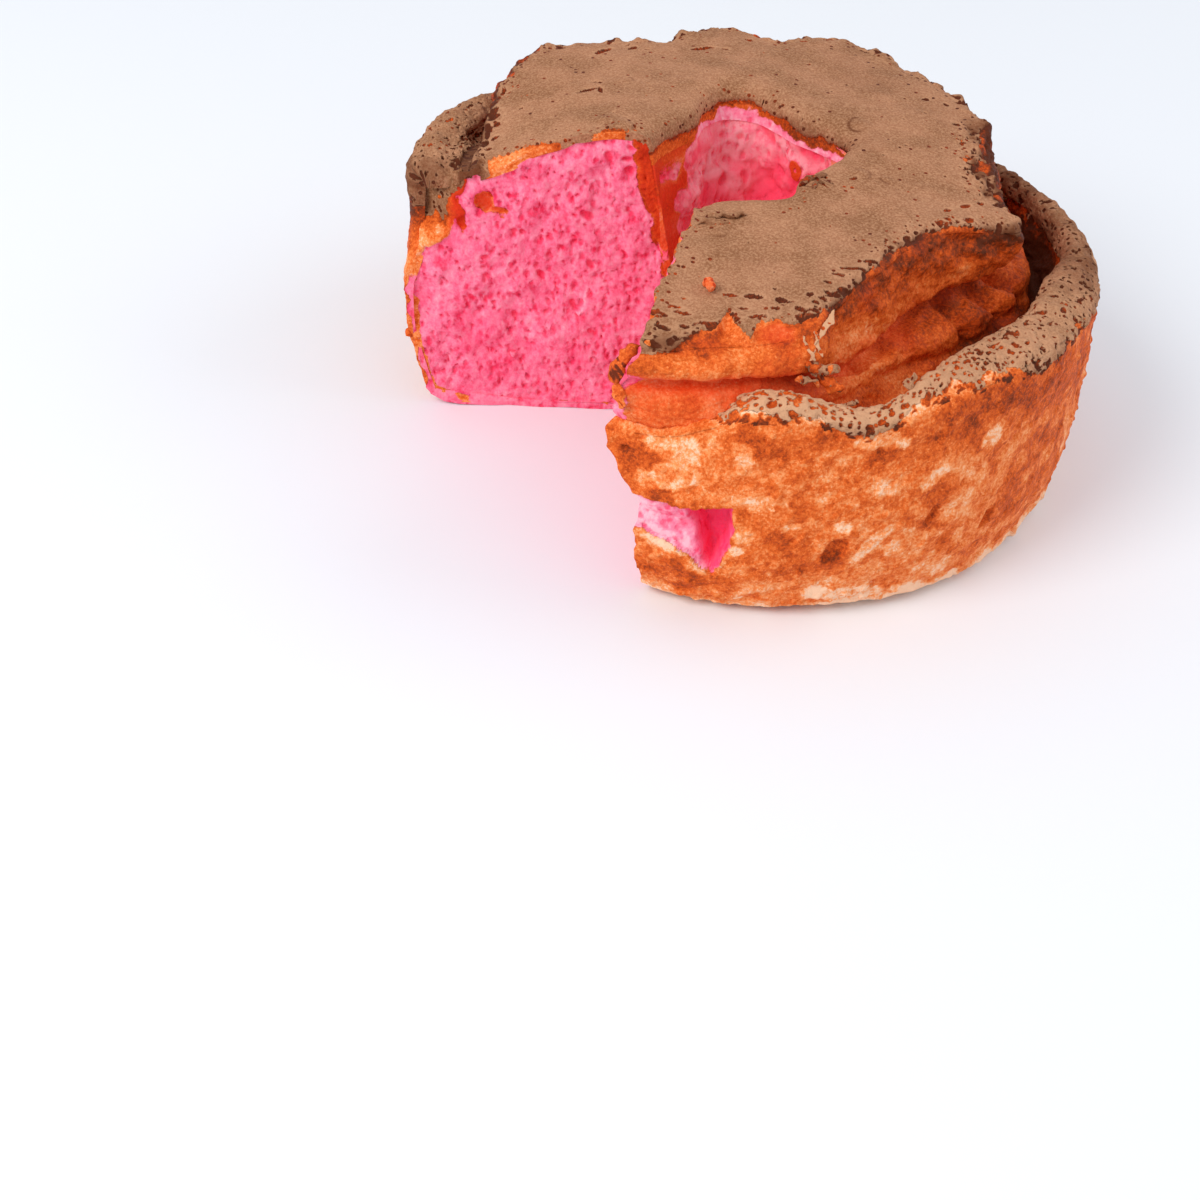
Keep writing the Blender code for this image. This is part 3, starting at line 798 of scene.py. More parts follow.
def dressTube():
    t = tubeSkin
    columns = np.linspace(cakeShape["cutStart"], cakeShape["cutEnd"], t["columns"])
    runs = outlines(columns)
    foot = np.stack([[cakeShape["tubeRadius"] + 2, 0.0, cornerAt["tubeFoot"]]] * len(columns))[:, None]
    runs = np.concatenate([runs, foot], 1)
    line = rowsBetween(runs, cornerAt["tubeTop"], cornerAt["tubeFoot"], t["rows"], True)
    r, z, s = line[..., 0], line[..., 1], line[..., 2]
    az = bentAzimuth(columns, r, z)
    base = place(az, r, z)
    normal = normalsOf(base)
    top = around("holeHeight", columns)[:, None]
    rough = lumpy(base, (1, 7, 101), (0.5, 3, 102))
    whole = smooth(t["crustFrom"] - 6, t["crustFrom"] + 6, az + 9 * rough)
    whole *= smooth(t["crustTo"] + 11, t["crustTo"], az)
    nearSide = smooth(395, 380, az + 12 * lumps(base, 16, 103)) * smooth(0.1, 0.5, lumps(base, 20, 104) + 0.3)
    below = top - z
    hangs = keyed(t["hangs"], az) * (0.9 + lumpy(base, (0.8, 9, 105), (0.3, 3, 125)))
    hang = smooth(3.5, -2, below - hangs)
    hang *= 0.35 + 0.65 * smooth(-0.35, 0.1, lumps(base, 6, 121))
    spotAway = np.hypot(np.radians(az - t["spot"][0]) * r, z - t["spot"][1]) + 0.9 * lumps(base, 3, 123)
    hang = np.maximum(hang, 0.9 * smooth(1, -0.5, np.abs(spotAway - 0.6 * t["spot"][2]) - 1.0))
    whole *= 1 - 0.9 * smooth(0.25, 0.5, lumps(base, 8, 122)) * smooth(8, 25, below)
    whole = np.clip(np.maximum(np.maximum(whole, 0.9 * nearSide), hang), 0, 1)
    torn = 1 - whole
    chunky = lumpy(base, *t["chunks"])
    u, v = np.radians(az) * tubeArc, z - r
    holes = np.maximum(pits(u, v, 7.5, 0.4, 110, 0.3), pits(u, v * 0.7, 3.4, 0.5, 113, 0.34))
    holes += 0.3 * lumps(base, 2, 114)
    chunky -= 1.6 * smooth(-0.5, 0.7, holes)
    sheet = lumpy(base, (0.8, 13, 116), (0.3, 4, 117), (0.15, 1.8, 118))
    stand = torn * (chunky - 1.8) + whole * sheet
    lip = np.interp(columns, skinColumns, relief[:, -1])[:, None]
    stand = mix(lip, stand, smooth(cornerAt["tubeTop"], cornerAt["tubeTop"] + 1.1, s)) * smooth(0, 4, z)
    spotRed = 0.9 * smooth(t["spot"][2] + 1, t["spot"][2] - 1, spotAway)
    points = base + normal * (stand - 0.25)[..., None]
    points[..., 2] = np.clip(points[..., 2], 0, None)
    rightSide = np.exp(-((az - 400) / 30) ** 2)
    reddish = mix(0.05 + 0.4 * smooth(8, 42, below) + 0.45 * rightSide, 1.5 * smooth(4, 26, below), whole)
    reddish += spotRed + 0.7 * lumps(base, 8, 120) + 0.3 * smooth(0.3, 2, -chunky)
    toast = 0.62 + 0.2 * lumps(base, 8, 119) - 0.12 * smooth(9, 3, below) - 0.2 * smooth(10, 50, below)
    marks = {
        "torn": torn, "pit": np.where(torn > 0.5, holes - 0.3, -9.0), "skin": np.full(r.shape, -9.0),
        "toast": toast - 0.1 * torn,
        # The pale mark lightens the torn crumb in the hole as painted light, standing in for light glowing
        # through the crumb.
        "pale": 1.15 * torn + 0.25 * smooth(7, 1, below),
        "red": np.clip(reddish, 0, 1 + 0.3 * whole),
    }
    return base, normal, points, marks


tubePlain, tubeNormal, tubePoints, tubeMarks = dressTube()


def minimumNear(values, reach):
    out = values
    for axis in (0, 1):
        padded = np.pad(out, [(reach, reach) if a == axis else (0, 0) for a in (0, 1)], mode="edge")
        length = values.shape[axis]
        out = np.min([np.take(padded, range(k, k + length), axis) for k in range(2 * reach + 1)], axis=0)
    return out


# Makes a mesh from points in millimetres, faces as one list of corner numbers with their starts, and fields.
def meshFrom(name, points, loops, starts, marks):
    mesh = bpy.data.meshes.new(name)
    mesh.vertices.add(len(points))
    mesh.vertices.foreach_set("co", (points * mm).astype(np.float32).ravel())
    mesh.loops.add(len(loops))
    mesh.loops.foreach_set("vertex_index", loops.astype(np.int32))
    mesh.polygons.add(len(starts))
    mesh.polygons.foreach_set("loop_start", starts.astype(np.int32))
    mesh.update(calc_edges=True)
    for mark, values in marks.items():
        layer = mesh.attributes.new(mark, "FLOAT", "POINT")
        layer.data.foreach_set("value", values.astype(np.float32).ravel())
    mesh.validate()
    mesh.shade_smooth()
    mesh.set_sharp_from_angle(angle=math.radians(75))
    piece = bpy.data.objects.new(name, mesh)
    bpy.context.scene.collection.objects.link(piece)
    print("made", name, len(mesh.vertices), "points", len(mesh.polygons), "faces")
    return piece


def gridFaces(number, flip=False):
    quads = np.stack([number[:-1, :-1], number[1:, :-1], number[1:, 1:], number[:-1, 1:]], -1).reshape(-1, 4)
    return quads[:, ::-1] if flip else quads


# A closed slab: fine outer points, coarse inner points below them, and strips that join their borders.
def closedSlab(name, outer, inner, marks, coarse=6):
    cols, rows = outer.shape[:2]
    pickCols = np.unique(np.append(np.arange(0, cols, coarse), cols - 1))
    pickRows = np.unique(np.append(np.arange(0, rows, coarse), rows - 1))
    below = inner[np.ix_(pickCols, pickRows)]
    top = np.arange(cols * rows).reshape(cols, rows)
    bottom = cols * rows + np.arange(below.shape[0] * below.shape[1]).reshape(below.shape[:2])
    quads = np.concatenate([gridFaces(top), gridFaces(bottom, flip=True)])
    loops, sizes = [quads.ravel()], [np.full(len(quads), 4)]
    borders = [(top[:, 0], bottom[:, 0], pickCols, True), (top[:, -1], bottom[:, -1], pickCols, False),
               (top[0, :], bottom[0, :], pickRows, False), (top[-1, :], bottom[-1, :], pickRows, True)]
    for fine, rough, picks, flip in borders:
        for k in range(len(picks) - 1):
            face = np.concatenate([fine[picks[k]:picks[k + 1] + 1], [rough[k + 1], rough[k]]])
            loops.append(face if flip else face[::-1])
            sizes.append([len(face)])
    sizes = np.concatenate(sizes)
    points = np.concatenate([outer.reshape(-1, 3), below.reshape(-1, 3)])
    picked = np.ix_(pickCols, pickRows)
    marks = {m: np.concatenate([v.ravel(), v[picked].ravel()]) for m, v in marks.items()}
    return meshFrom(name, points, np.concatenate(loops), np.cumsum(sizes) - sizes, marks)


crustBody = {"thick": 1.7, "tubeThick": 1.1, "wraps": 5, "crustShare": 0.45, "crustWander": 0.9}


def endsRepeated(values, times):
    return np.concatenate([np.repeat(values[:1], times, 0), values, np.repeat(values[-1:], times, 0)])


# A slab of crust whose two cut ends are turned in, so that its edge shows at the cuts.
def crustPiece(name, base, normal, outer, marks, rows, thick=crustBody["thick"]):
    base, normal, outer = base[:, rows], normal[:, rows], outer[:, rows]
    marks = {m: v[:, rows] for m, v in marks.items()}
    stand = np.sum((outer - base) * normal, -1)
    steps = crustBody["wraps"]
    inner = base + normal * (minimumNear(stand, 7) - thick - 0.6)[..., None]
    inner[..., 2] = np.maximum(inner[..., 2], 0.4)
    shares = np.linspace(0, 1, steps + 1)[1:]
    firstDepth, lastDepth = [thick * (1.1 + 0.5 * lumps(outer[end], 4, 100))[:, None] for end in (0, -1)]
    first = np.array([outer[0] - normal[0] * firstDepth * d for d in shares[::-1]])
    last = np.array([outer[-1] - normal[-1] * lastDepth * d for d in shares])
    # The turned-in ends show a line of crust of uneven depth, and crumb below it.
    share, wander = crustBody["crustShare"], crustBody["crustWander"]
    crustShare = [share + wander * lumps(outer[end], 5, 101) for end in (0, -1)]
    bareFirst, bareLast = [smooth(-0.1, 0.15, shares[:, None] - crustShare[end]) for end in (0, -1)]
    # The far end keeps its crust at the rounded corner, beside the hole and along the top.
    r, z = aboutAxis(base[-1])
    inCorner = smooth(-5, -2, insideOutline(r, z, farCorner["outline"]))
    byHole = smooth(48, 40, r) * smooth(35, 55, z)
    bareLast *= 1 - np.maximum(np.maximum(inCorner, byHole), smooth(88, 95, z))
    for wrap in (first, last):
        wrap[..., 2] = np.maximum(wrap[..., 2], 0.0)
    outer = np.concatenate([first, outer, last])
    inner = endsRepeated(inner, steps)
    grown = {m: endsRepeated(v, steps) for m, v in marks.items()}
    grown["torn"][:steps] = np.maximum(grown["torn"][:steps], bareFirst[::-1])
    grown["torn"][-steps:] = np.maximum(grown["torn"][-steps:], bareLast)
    return closedSlab(name, outer, inner, grown)


pieces = {}
for name in names:
    start = firstRow[name]
    stop = start + skinGrid["rows"][name] + (0 if name == names[-1] else 1)
    title = skinGrid["titles"][name]
    pieces[title] = crustPiece(title, plain, plainNormal, skinPoints, finish, slice(start, stop))
pieces["tubeWall"] = crustPiece("tubeWall", tubePlain, tubeNormal, tubePoints, tubeMarks, slice(0, None),
                               thick=crustBody["tubeThick"])

# The pink crumb that shows at the two cuts.
cutCrumb = {
    "inset": 0.9, "thick": 2.6, "rim": 1.2, "outerRim": 2.8, "lowRight": 0.3, "leftCell": 0.55,
    "nearCell": 0.8,
    "broad": 0.9, "broadSize": 22.0, "lump": 0.5, "lumpSize": 6.0, "grain": 0.32, "grainSize": 2.2,
    "poreDepth": 1.1,
    # How far out the crust reaches beside the hole, as (height, radius).
    "besideHole": [(0, 20), (30, 25), (50, 29.5), (70, 33), (95, 39), (112, 40)],
    # Crust folded into the left cut: radius, height, length, width, turn.
    "leftFolds": [
        (92.3, 82.5, 9, 6.5, 50), (88.6, 79.6, 9, 2.8, 18), (101.4, 80, 16, 2.6, 86),
        (100.4, 73, 2.6, 2.2, 0),
    ],
    "leftHoles": [
        (56.7, 79.6, 5, 3.4, 30), (49, 101.8, 5.5, 2.2, 80), (41.9, 97, 4, 3.4, 90),
        (42.6, 101.4, 3, 2.4, 0), (93.3, 61.9, 3, 2, 0), (74, 55, 4, 2.6, 60), (63, 44, 4, 2.4, 90),
        (84, 38, 3, 2.2, 60), (70, 70, 3.4, 2.2, 20), (56, 60, 5, 2.4, 70), (99, 46, 3.4, 2, 50),
    ],
}


# Squares of a flat grid whose border is drawn onto the line that lies inset from a closed outline.
def fillOutline(outlineRz, cell, inset):
    low, high = outlineRz.min(0), outlineRz.max(0)
    r = np.arange(low[0], high[0] + cell, cell)
    z = np.arange(low[1], high[1] + cell, cell)
    u, v = np.meshgrid(r, z, indexing="ij")
    inside = insideOutline(u, v, outlineRz) - inset
    du, dv = np.gradient(inside, cell)
    size = np.maximum(np.hypot(du, dv), 0.3) ** 2
    border = np.abs(inside) < 0.5 * cell
    u = np.where(border, u - inside * du / size, u)
    v = np.where(border, v - inside * dv / size, v)
    keep = inside > -0.5 * cell
    whole = keep[:-1, :-1] & keep[1:, :-1] & keep[1:, 1:] & keep[:-1, 1:]
    number = np.arange(u.size).reshape(u.shape)
    quads = gridFaces(number)[whole.ravel()]
    used, quads = np.unique(quads, return_inverse=True)
    return u.ravel()[used], v.ravel()[used], np.maximum(inside.ravel()[used], 0), quads.reshape(-1, 4)


# A closed sheet: the same faces in front and behind, and a strip along every open edge.
def closedSheet(name, front, back, quads, marks):
    edges = np.concatenate([quads[:, [k, (k + 1) % 4]] for k in range(4)])
    key = np.sort(edges, 1)
    key = key[:, 0] * len(front) + key[:, 1]
    values, firsts, counts = np.unique(key, return_index=True, return_counts=True)
    openEdges = edges[firsts[counts == 1]]
    sides = np.stack([openEdges[:, 1], openEdges[:, 0], openEdges[:, 0] + len(front),
                      openEdges[:, 1] + len(front)], 1)
    faces = np.concatenate([quads, quads[:, ::-1] + len(front), sides])
    points = np.concatenate([front, back])
    marks = {m: np.tile(v, 2) for m, v in marks.items()}
    return meshFrom(name, points, faces.ravel(), np.arange(len(faces)) * 4, marks)


def crumbFace(name, end, azimuthAt, outward, cell, folds, holes, corner, flip):
    c = cutCrumb
    border = np.concatenate([skinPoints[end], tubePoints[end]])[::2]
    outlineRz = np.stack(aboutAxis(border), 1)
    u, v, depth, quads = fillOutline(outlineRz, cell, c["inset"])
    flat = place(azimuthAt(u, v), u, v)
    ragged = 0.4 * lumps(flat, 2, 131)
    fold = slits(u, v, folds, 2.2 * ragged + 0.8 * lumps(flat, 5, 133)) if folds else np.full(u.shape, -9.0)
    warp = np.stack([lumps(flat, 2.6, 151 + k) + 0.6 * lumps(flat, 1.3, 154 + k) for k in range(2)], -1)
    across, up = u + 0.9 * warp[:, 0], 0.62 * v + 0.9 * warp[:, 1]
    fine = np.maximum(pits(across, up, 4.4, 0.28, 132, 0.24), pits(across, up, 2.2, 0.5, 135, 0.3))
    fine = np.maximum(fine - 0.1, slits(u, v, holes, ragged))
    dense = smooth(34, 8, v + 0.16 * u + 6 * lumps(flat, 26, 139)) * smooth(60, 84, u)
    fine -= 0.9 * dense
    stand = lumpy(flat, (c["broad"], c["broadSize"], 140), (c["lump"], c["lumpSize"], 141))
    stand += c["grain"] * roughness(flat, c["grainSize"], 2, 142)
    stand = stand - c["poreDepth"] * smooth(-0.45, 0.6, fine) - 2.0 * smooth(-0.6, 1.0, fold)
    stand = (stand - 0.3) * smooth(0, 3, depth) - 0.25
    # Crust: folded in, turned in at the corner, in a thin line along the outer edge, and beside the hole.
    rough = lumpy(flat, (1, 5, 156), (0.6, 2.2, 157))
    rounded = insideOutline(u, v, corner) + 1.8 * rough if corner else np.full(u.shape, -9.0)
    stand = mix(stand, 0.7, smooth(-1, 1.5, rounded))
    rimWidth = mix(c["rim"], c["outerRim"], smooth(96, 108, u))
    outside = rimWidth * (1 + 0.5 * rough) - depth - 9 * smooth(45, 38, u)
    besideHole = np.interp(v, *zip(*c["besideHole"])) + 1.6 * rough + 1.2 * lumps(flat, 9, 160) - u
    crust = np.maximum(smooth(-0.5, 0.7, fold), smooth(-0.8, 0.8, rounded))
    crust = np.maximum(crust, np.maximum(smooth(-0.9, 0.6, outside), smooth(-1.5, 1.5, besideHole)))
    upper = smooth(66, 84, v + 5 * rough + 3 * lumps(flat, 2.6, 159))
    foot = np.minimum(1, v / 3)
    front = flat + np.array(outward) * (stand * (0.4 + 0.6 * foot))[:, None]
    back = flat - np.array(outward) * c["thick"]
    deep = 0.5 + 0.5 * roughness(flat, 17, 3, 144) - 0.35 * dense
    deep += c["lowRight"] * smooth(95, 30, u + 0.5 * v)
    creased = smooth(-1.5, 1.5, fold) + np.exp(-(rounded / 2.5) ** 2) * smooth(68, 76, v)
    byHole = smooth(-2, 2, besideHole)
    crustPit = pits(u, v, 3.2, 0.4, 158, 0.3) - 2 * (1 - upper) - smooth(5, 2, depth)
    crustRed = np.clip(1.4 * creased + 1.1 * byHole, 0, 1.4)
    toast = 0.34 + 0.14 * rough + 0.4 * smooth(58, 82, v + 6 * rough) * smooth(-4, 0, rounded)
    toast += 0.36 * byHole + 0.2 * lumps(flat, 3, 161) * byHole
    marks = {
        "torn": 1 - crust, "pit": np.where(crust > 0.5, crustPit, fine), "toast": toast,
        "skin": np.maximum(rounded - 2.2 - 16 * (1 - upper), -9.0),
        "pale": 0.2 * (1 - upper) * (rounded > -1),
        "red": mix(0.4 * smooth(0.55, 1.0, deep), crustRed, crust),
    }
    quads = quads[:, ::-1] if flip else quads
    front[:, 2], back[:, 2] = np.maximum(front[:, 2], 0.3), np.maximum(back[:, 2], 0.3)
    return closedSheet(name, front, back, quads, marks)


# Shreds of skin that hang loose, and crumbs. Paths are (azimuth, radius, height), widths are half widths.
looseBits = [
    # Hanging strand.
    {"path": [(286.5, 93, 101.5), (283.6, 99, 99.5), (281.4, 103.5, 96), (280.2, 105, 91.5)],
     "half": [1.3, 0.8, 0.5, 0.7], "thick": 0.45, "skin": 2.0, "pale": 0.8},
    # Side strand.
    {"path": [(281.2, 100, 98.6), (281.4, 102.5, 96.5), (282.6, 104.5, 92.5)],
     "half": [0.7, 0.45, 0.6], "thick": 0.4, "skin": 2.0, "pale": 0.8},
    {"path": [(279.2, 102, 98.4), (279.8, 104.4, 95.4), (281, 105.4, 91.6)],
     "half": [0.6, 0.4, 0.6], "thick": 0.4, "skin": 2.0, "pale": 0.8},
    # Clump.
    {"path": [(279.6, 105, 91.5), (281.4, 104.5, 88), (282.8, 103.5, 84.5)],
     "half": [1.0, 2.6, 1.8], "thick": 1.4, "skin": -0.3, "toast": 0.72},
    # Clump side.
    {"path": [(280.2, 104, 89.5), (283.2, 105, 88), (285.6, 104.5, 87.4)], "half": [1.3, 2.0, 1.4],
     "thick": 1.3, "skin": 0.4, "toast": 0.55},
    # Clump foot.
    {"path": [(281.8, 104, 85.5), (284.4, 106, 83), (286.2, 106.5, 82)], "half": [1.6, 1.9, 1.0],
     "thick": 1.2, "skin": -0.3, "toast": 0.65},
    # Clump shred.
    {"path": [(277.8, 106, 86), (280, 106.5, 85), (282, 106.5, 84)], "half": [0.8, 1.5, 1.1],
     "thick": 0.8, "skin": 0.2, "toast": 0.5},
    # End flap.
    {"path": [(253, 113.5, 94.5), (251.2, 115.6, 90.5), (250, 117.5, 86), (250, 119, 81.5)],
     "half": [0.9, 1.8, 2.7, 1.8], "thick": 1.1, "skin": -9.0, "toast": 0.62},
    # End flap foot.
    {"path": [(250.2, 119, 82), (251.8, 121, 75)], "half": [1.9, 1.1], "thick": 1.0,
     "skin": -9.0, "toast": 0.5},
    # Hole wrinkle.
    {"path": [(251, 47.5, 104), (255.5, 45.5, 104.7), (261, 43.5, 105), (268, 41, 104.6)],
     "half": [1.0, 2.0, 1.8, 1.0], "thick": 0.9, "skin": 0.8, "toast": 0.7},
    {"path": [(249, 52, 103.8), (255, 49.5, 104.6), (262, 48, 104.4)],
     "half": [0.8, 1.3, 0.8], "thick": 0.8, "skin": 0.8, "toast": 0.7},
    {"path": [(306, 26.5, 107), (313, 26, 107.6), (322, 27, 108), (330, 29, 108)],
     "half": [0.8, 1.9, 2.0, 0.9], "thick": 1.1, "skin": 0.4, "toast": 0.9},
    {"path": [(309, 31, 107), (317, 30.5, 107.8), (326, 32, 107.8)],
     "half": [0.8, 1.4, 0.8], "thick": 0.9, "skin": 0.4, "toast": 0.9},
    # Rim curl.
    {"path": [(264.8, 115, 75.5), (266.4, 109, 79.5), (268, 106, 82)], "half": [1.6, 1.3, 0.8],
     "thick": 0.7, "skin": 2.0},
    # Rim flake.
    {"path": [(285, 110, 79), (288, 111, 80)], "half": [1.3, 1.0], "thick": 0.6, "skin": 2.0},
    {"path": [(296, 111, 83), (299, 108, 85)], "half": [1.4, 0.9], "thick": 0.6, "skin": 2.0},
    # Bit on top.
    {"path": [(260.3, 83, 103.4), (261.5, 86.1, 103.8), (262.3, 88.4, 103.2)], "half": [1.5, 2.0, 1.3],
     "thick": 1.4, "skin": -9.0, "toast": 0.3, "red": 0.7},
    # Stuck crumb.
    {"path": [(186.2, 121.3, 29), (186.8, 123.4, 30.5)], "half": [1.6, 1.2], "thick": 1.1,
     "skin": -9.0, "toast": 0.6},
    # Cut crumb.
    {"path": [(186.2, 60, 40), (184.9, 62, 41)], "half": [1.3, 1.2], "thick": 1.2, "skin": -9.0,
     "torn": 1.0, "pale": 0.5},
    {"path": [(186.4, 84, 22), (185.4, 86, 22.6)], "half": [1.3, 1.2], "thick": 1.2, "skin": -9.0,
     "torn": 1.0, "pale": 0.5},
]
shredGrid = {
    "rings": 30, "sides": 16,
    "marks": {"skin": -9.0, "pit": -9.0, "toast": 0.45, "pale": 0.1, "torn": 0.0, "red": 0.1},
}


def shred(spec, seed):
    path = place(*np.array(spec["path"], float).T)
    rings, sides = shredGrid["rings"], shredGrid["sides"]
    share, keys = np.linspace(0, 1, rings), np.linspace(0, 1, len(path))
    centre = np.stack([np.interp(share, keys, path[:, k]) for k in range(3)], -1)
    for _ in range(6):
        centre[1:-1] = 0.25 * centre[:-2] + 0.5 * centre[1:-1] + 0.25 * centre[2:]
    forward = np.gradient(centre, axis=0)
    forward /= np.linalg.norm(forward, axis=1, keepdims=True)
    turn = np.arctan2(centre[:, 1], centre[:, 0])
    across = np.stack([-np.sin(turn), np.cos(turn), np.zeros(rings)], -1)
    across -= forward * np.sum(across * forward, -1, keepdims=True)
    across /= np.linalg.norm(across, axis=1, keepdims=True)
    up = np.cross(forward, across)
    taper = np.sqrt(np.clip(1 - np.abs(2 * share - 1) ** 5, 0.01, 1))
    half = np.interp(share, np.linspace(0, 1, len(spec["half"])), spec["half"]) * taper
    half *= 1 + 0.35 * lumps(centre, 2.2, seed)
    angle = np.linspace(0, 2 * math.pi, sides, endpoint=False)
    side = across[:, None] * (half[:, None] * np.cos(angle))[..., None]
    lift = up[:, None] * (spec["thick"] * taper[:, None] * np.sin(angle))[..., None]
    points = centre[:, None] + side + lift
    rise = 0.8 * lumps(points, 2.6, seed + 1) + 0.4 * lumps(points, 1.2, seed + 3)
    points += up[:, None] * rise[..., None]
    points += across[:, None] * (0.9 * lumps(points, 1.9, seed + 2))[..., None]
    return points


def makeLooseBits():
    points, loops, sizes, marks, count = [], [], [], {m: [] for m in finish}, 0
    for index, spec in enumerate(looseBits):
        grid = shred(spec, 200 + 3 * index)
        number = count + np.arange(grid.shape[0] * grid.shape[1]).reshape(grid.shape[:2])
        wrapped = np.concatenate([number, number[:, :1]], 1)
        quads = gridFaces(wrapped, flip=True)
        loops += [quads.ravel(), number[0], number[-1][::-1]]
        sizes += [np.full(len(quads), 4), [len(number[0])], [len(number[0])]]
        points.append(grid.reshape(-1, 3))
        count += number.size
        p = grid.reshape(-1, 3)
        rough = lumps(p, 2.5, 230)
        values = {m: np.full(len(p), spec.get(m, shredGrid["marks"][m])) for m in marks}
        values["skin"] += 1.2 * rough
        values["toast"] += 0.15 * rough
        values["pit"] = pits(p[:, 0] + p[:, 2], p[:, 1], 2.2, 0.5, 231, 0.33)
        for m in marks:
            marks[m].append(values[m])
    sizes = np.concatenate(sizes)
    return meshFrom("looseBits", np.concatenate(points), np.concatenate(loops), np.cumsum(sizes) - sizes,
                    {m: np.concatenate(v) for m, v in marks.items()})


pieces["looseBits"] = makeLooseBits()
leftOut = [-math.sin(math.radians(cakeShape["cutEnd"])), math.cos(math.radians(cakeShape["cutEnd"])), 0]
nearOut = [math.sin(math.radians(cakeShape["cutLine"])), -math.cos(math.radians(cakeShape["cutLine"])), 0]
pieces["leftCrumb"] = crumbFace("leftCrumb", -1, farAzimuth, leftOut, cutCrumb["leftCell"],
                                cutCrumb["leftFolds"],
                                cutCrumb["leftHoles"], farCorner["outline"], False)
pieces["nearCrumb"] = crumbFace("nearCrumb", 0, nearAzimuth, nearOut, cutCrumb["nearCell"], [],
                                [(90, 70, 5, 3, 40), (60, 50, 4, 3, 70), (75, 30, 5, 2.6, 60)], None, True)

# Finishes. Colours are given as seen on a screen and turned into the shader's own scale.
def tone(*screen):
    return tuple(((c / 255 + 0.055) / 1.055) ** 2.4 if c > 10 else c / 255 / 12.92 for c in screen) + (1,)


def put(tree, kind, inputs=None, **settings):
    node = tree.nodes.new(kind)
    for name, value in settings.items():
        setattr(node, name, value)
    for key, value in (inputs or {}).items():
        if isinstance(value, bpy.types.NodeSocket):
            tree.links.new(value, node.inputs[key])
        else:
            node.inputs[key].default_value = value
    return node


def calc(tree, operation, first, second=0.0, third=0.0):
    return put(tree, "ShaderNodeMath", {0: first, 1: second, 2: third}, operation=operation).outputs[0]


# Goes smoothly from one value to another while the input crosses a range.
def fade(tree, value, low, high, start=0.0, end=1.0):
    inputs = {"Value": value, "From Min": low, "From Max": high, "To Min": start, "To Max": end}
    return put(tree, "ShaderNodeMapRange", inputs, interpolation_type="SMOOTHSTEP").outputs[0]


def blendColour(tree, share, first, second):
    return put(tree, "ShaderNodeMix", {0: share, 6: first, 7: second}, data_type="RGBA").outputs[2]


# A plain value between two others.
def blendValue(tree, share, first, second):
    return put(tree, "ShaderNodeMix", {0: share, 2: first, 3: second}, data_type="FLOAT").outputs[0]


# Adds to a value as far as another, which lies round a half, is above it.
def sway(tree, base, value, amount):
    return calc(tree, "MULTIPLY_ADD", calc(tree, "SUBTRACT", value, 0.5), amount, base)


def noise(tree, vector, size, detail=2.0, rough=0.5):
    inputs = {"Vector": vector, "Scale": 1 / size, "Detail": detail, "Roughness": rough}
    return put(tree, "ShaderNodeTexNoise", inputs).outputs["Fac"]


def cells(tree, vector, size, feature="F1"):
    return put(tree, "ShaderNodeTexVoronoi", {"Vector": vector, "Scale": 1 / size}, feature=feature)


def rampOf(tree, value, stops):
    node = put(tree, "ShaderNodeValToRGB", {"Fac": value})
    ramp = node.color_ramp
    while len(ramp.elements) > 1:
        ramp.elements.remove(ramp.elements[-1])
    for k, (position, colour) in enumerate(stops):
        element = ramp.elements[0] if k == 0 else ramp.elements.new(position)
        element.position, element.color = position, tone(*colour)
    return node.outputs["Color"]


def startGroup(name, inputs, outputs):
    group = bpy.data.node_groups.new(name, "ShaderNodeTree")
    kinds = {"vector": "NodeSocketVector", "value": "NodeSocketFloat", "colour": "NodeSocketColor"}
    for label, kind in inputs:
        group.interface.new_socket(name=label, in_out="INPUT", socket_type=kinds[kind])
    for label, kind in outputs:
        group.interface.new_socket(name=label, in_out="OUTPUT", socket_type=kinds[kind])
    enter = group.nodes.new("NodeGroupInput")
    leave = group.nodes.new("NodeGroupOutput")
    return group, enter.outputs, leave.inputs


# Sizes are in millimetres. Screen colours run from the palest bake to the darkest.
bakedTones = {
    "grain": 1.15, "fine": 0.5, "patch": 13.0,
    "golden": [
        (0.0, (255, 206, 170)), (0.2, (250, 155, 92)), (0.42, (232, 108, 40)), (0.62, (200, 78, 18)),
        (0.8, (146, 56, 16)), (1.0, (90, 38, 14)),
    ],
    "red": (226, 54, 26),
}


# The grain of a baked sponge surface, with light flecks that are painted glints of its sparkle.
def makeSpongeGrain():
    group, given, out = startGroup("spongeGrain", [("Vector", "vector")],
                                   [("Grain", "value"), ("PaintedGlint", "value"), ("Height", "value")])
    b = bakedTones
    coarse = noise(group, given["Vector"], b["grain"], 3, 0.65)
    fine = noise(group, given["Vector"], b["fine"], 2, 0.6)
    bubble = cells(group, given["Vector"], 1.3).outputs["Distance"]
    link = group.links.new
    link(fade(group, coarse, 0.3, 0.7), out["Grain"])
    link(fade(group, fine, 0.56, 0.72), out["PaintedGlint"])
    height = calc(group, "MULTIPLY_ADD", coarse, 0.6, calc(group, "MULTIPLY", bubble, 0.35))
    link(calc(group, "MULTIPLY_ADD", fine, 0.3, height), out["Height"])
    return group


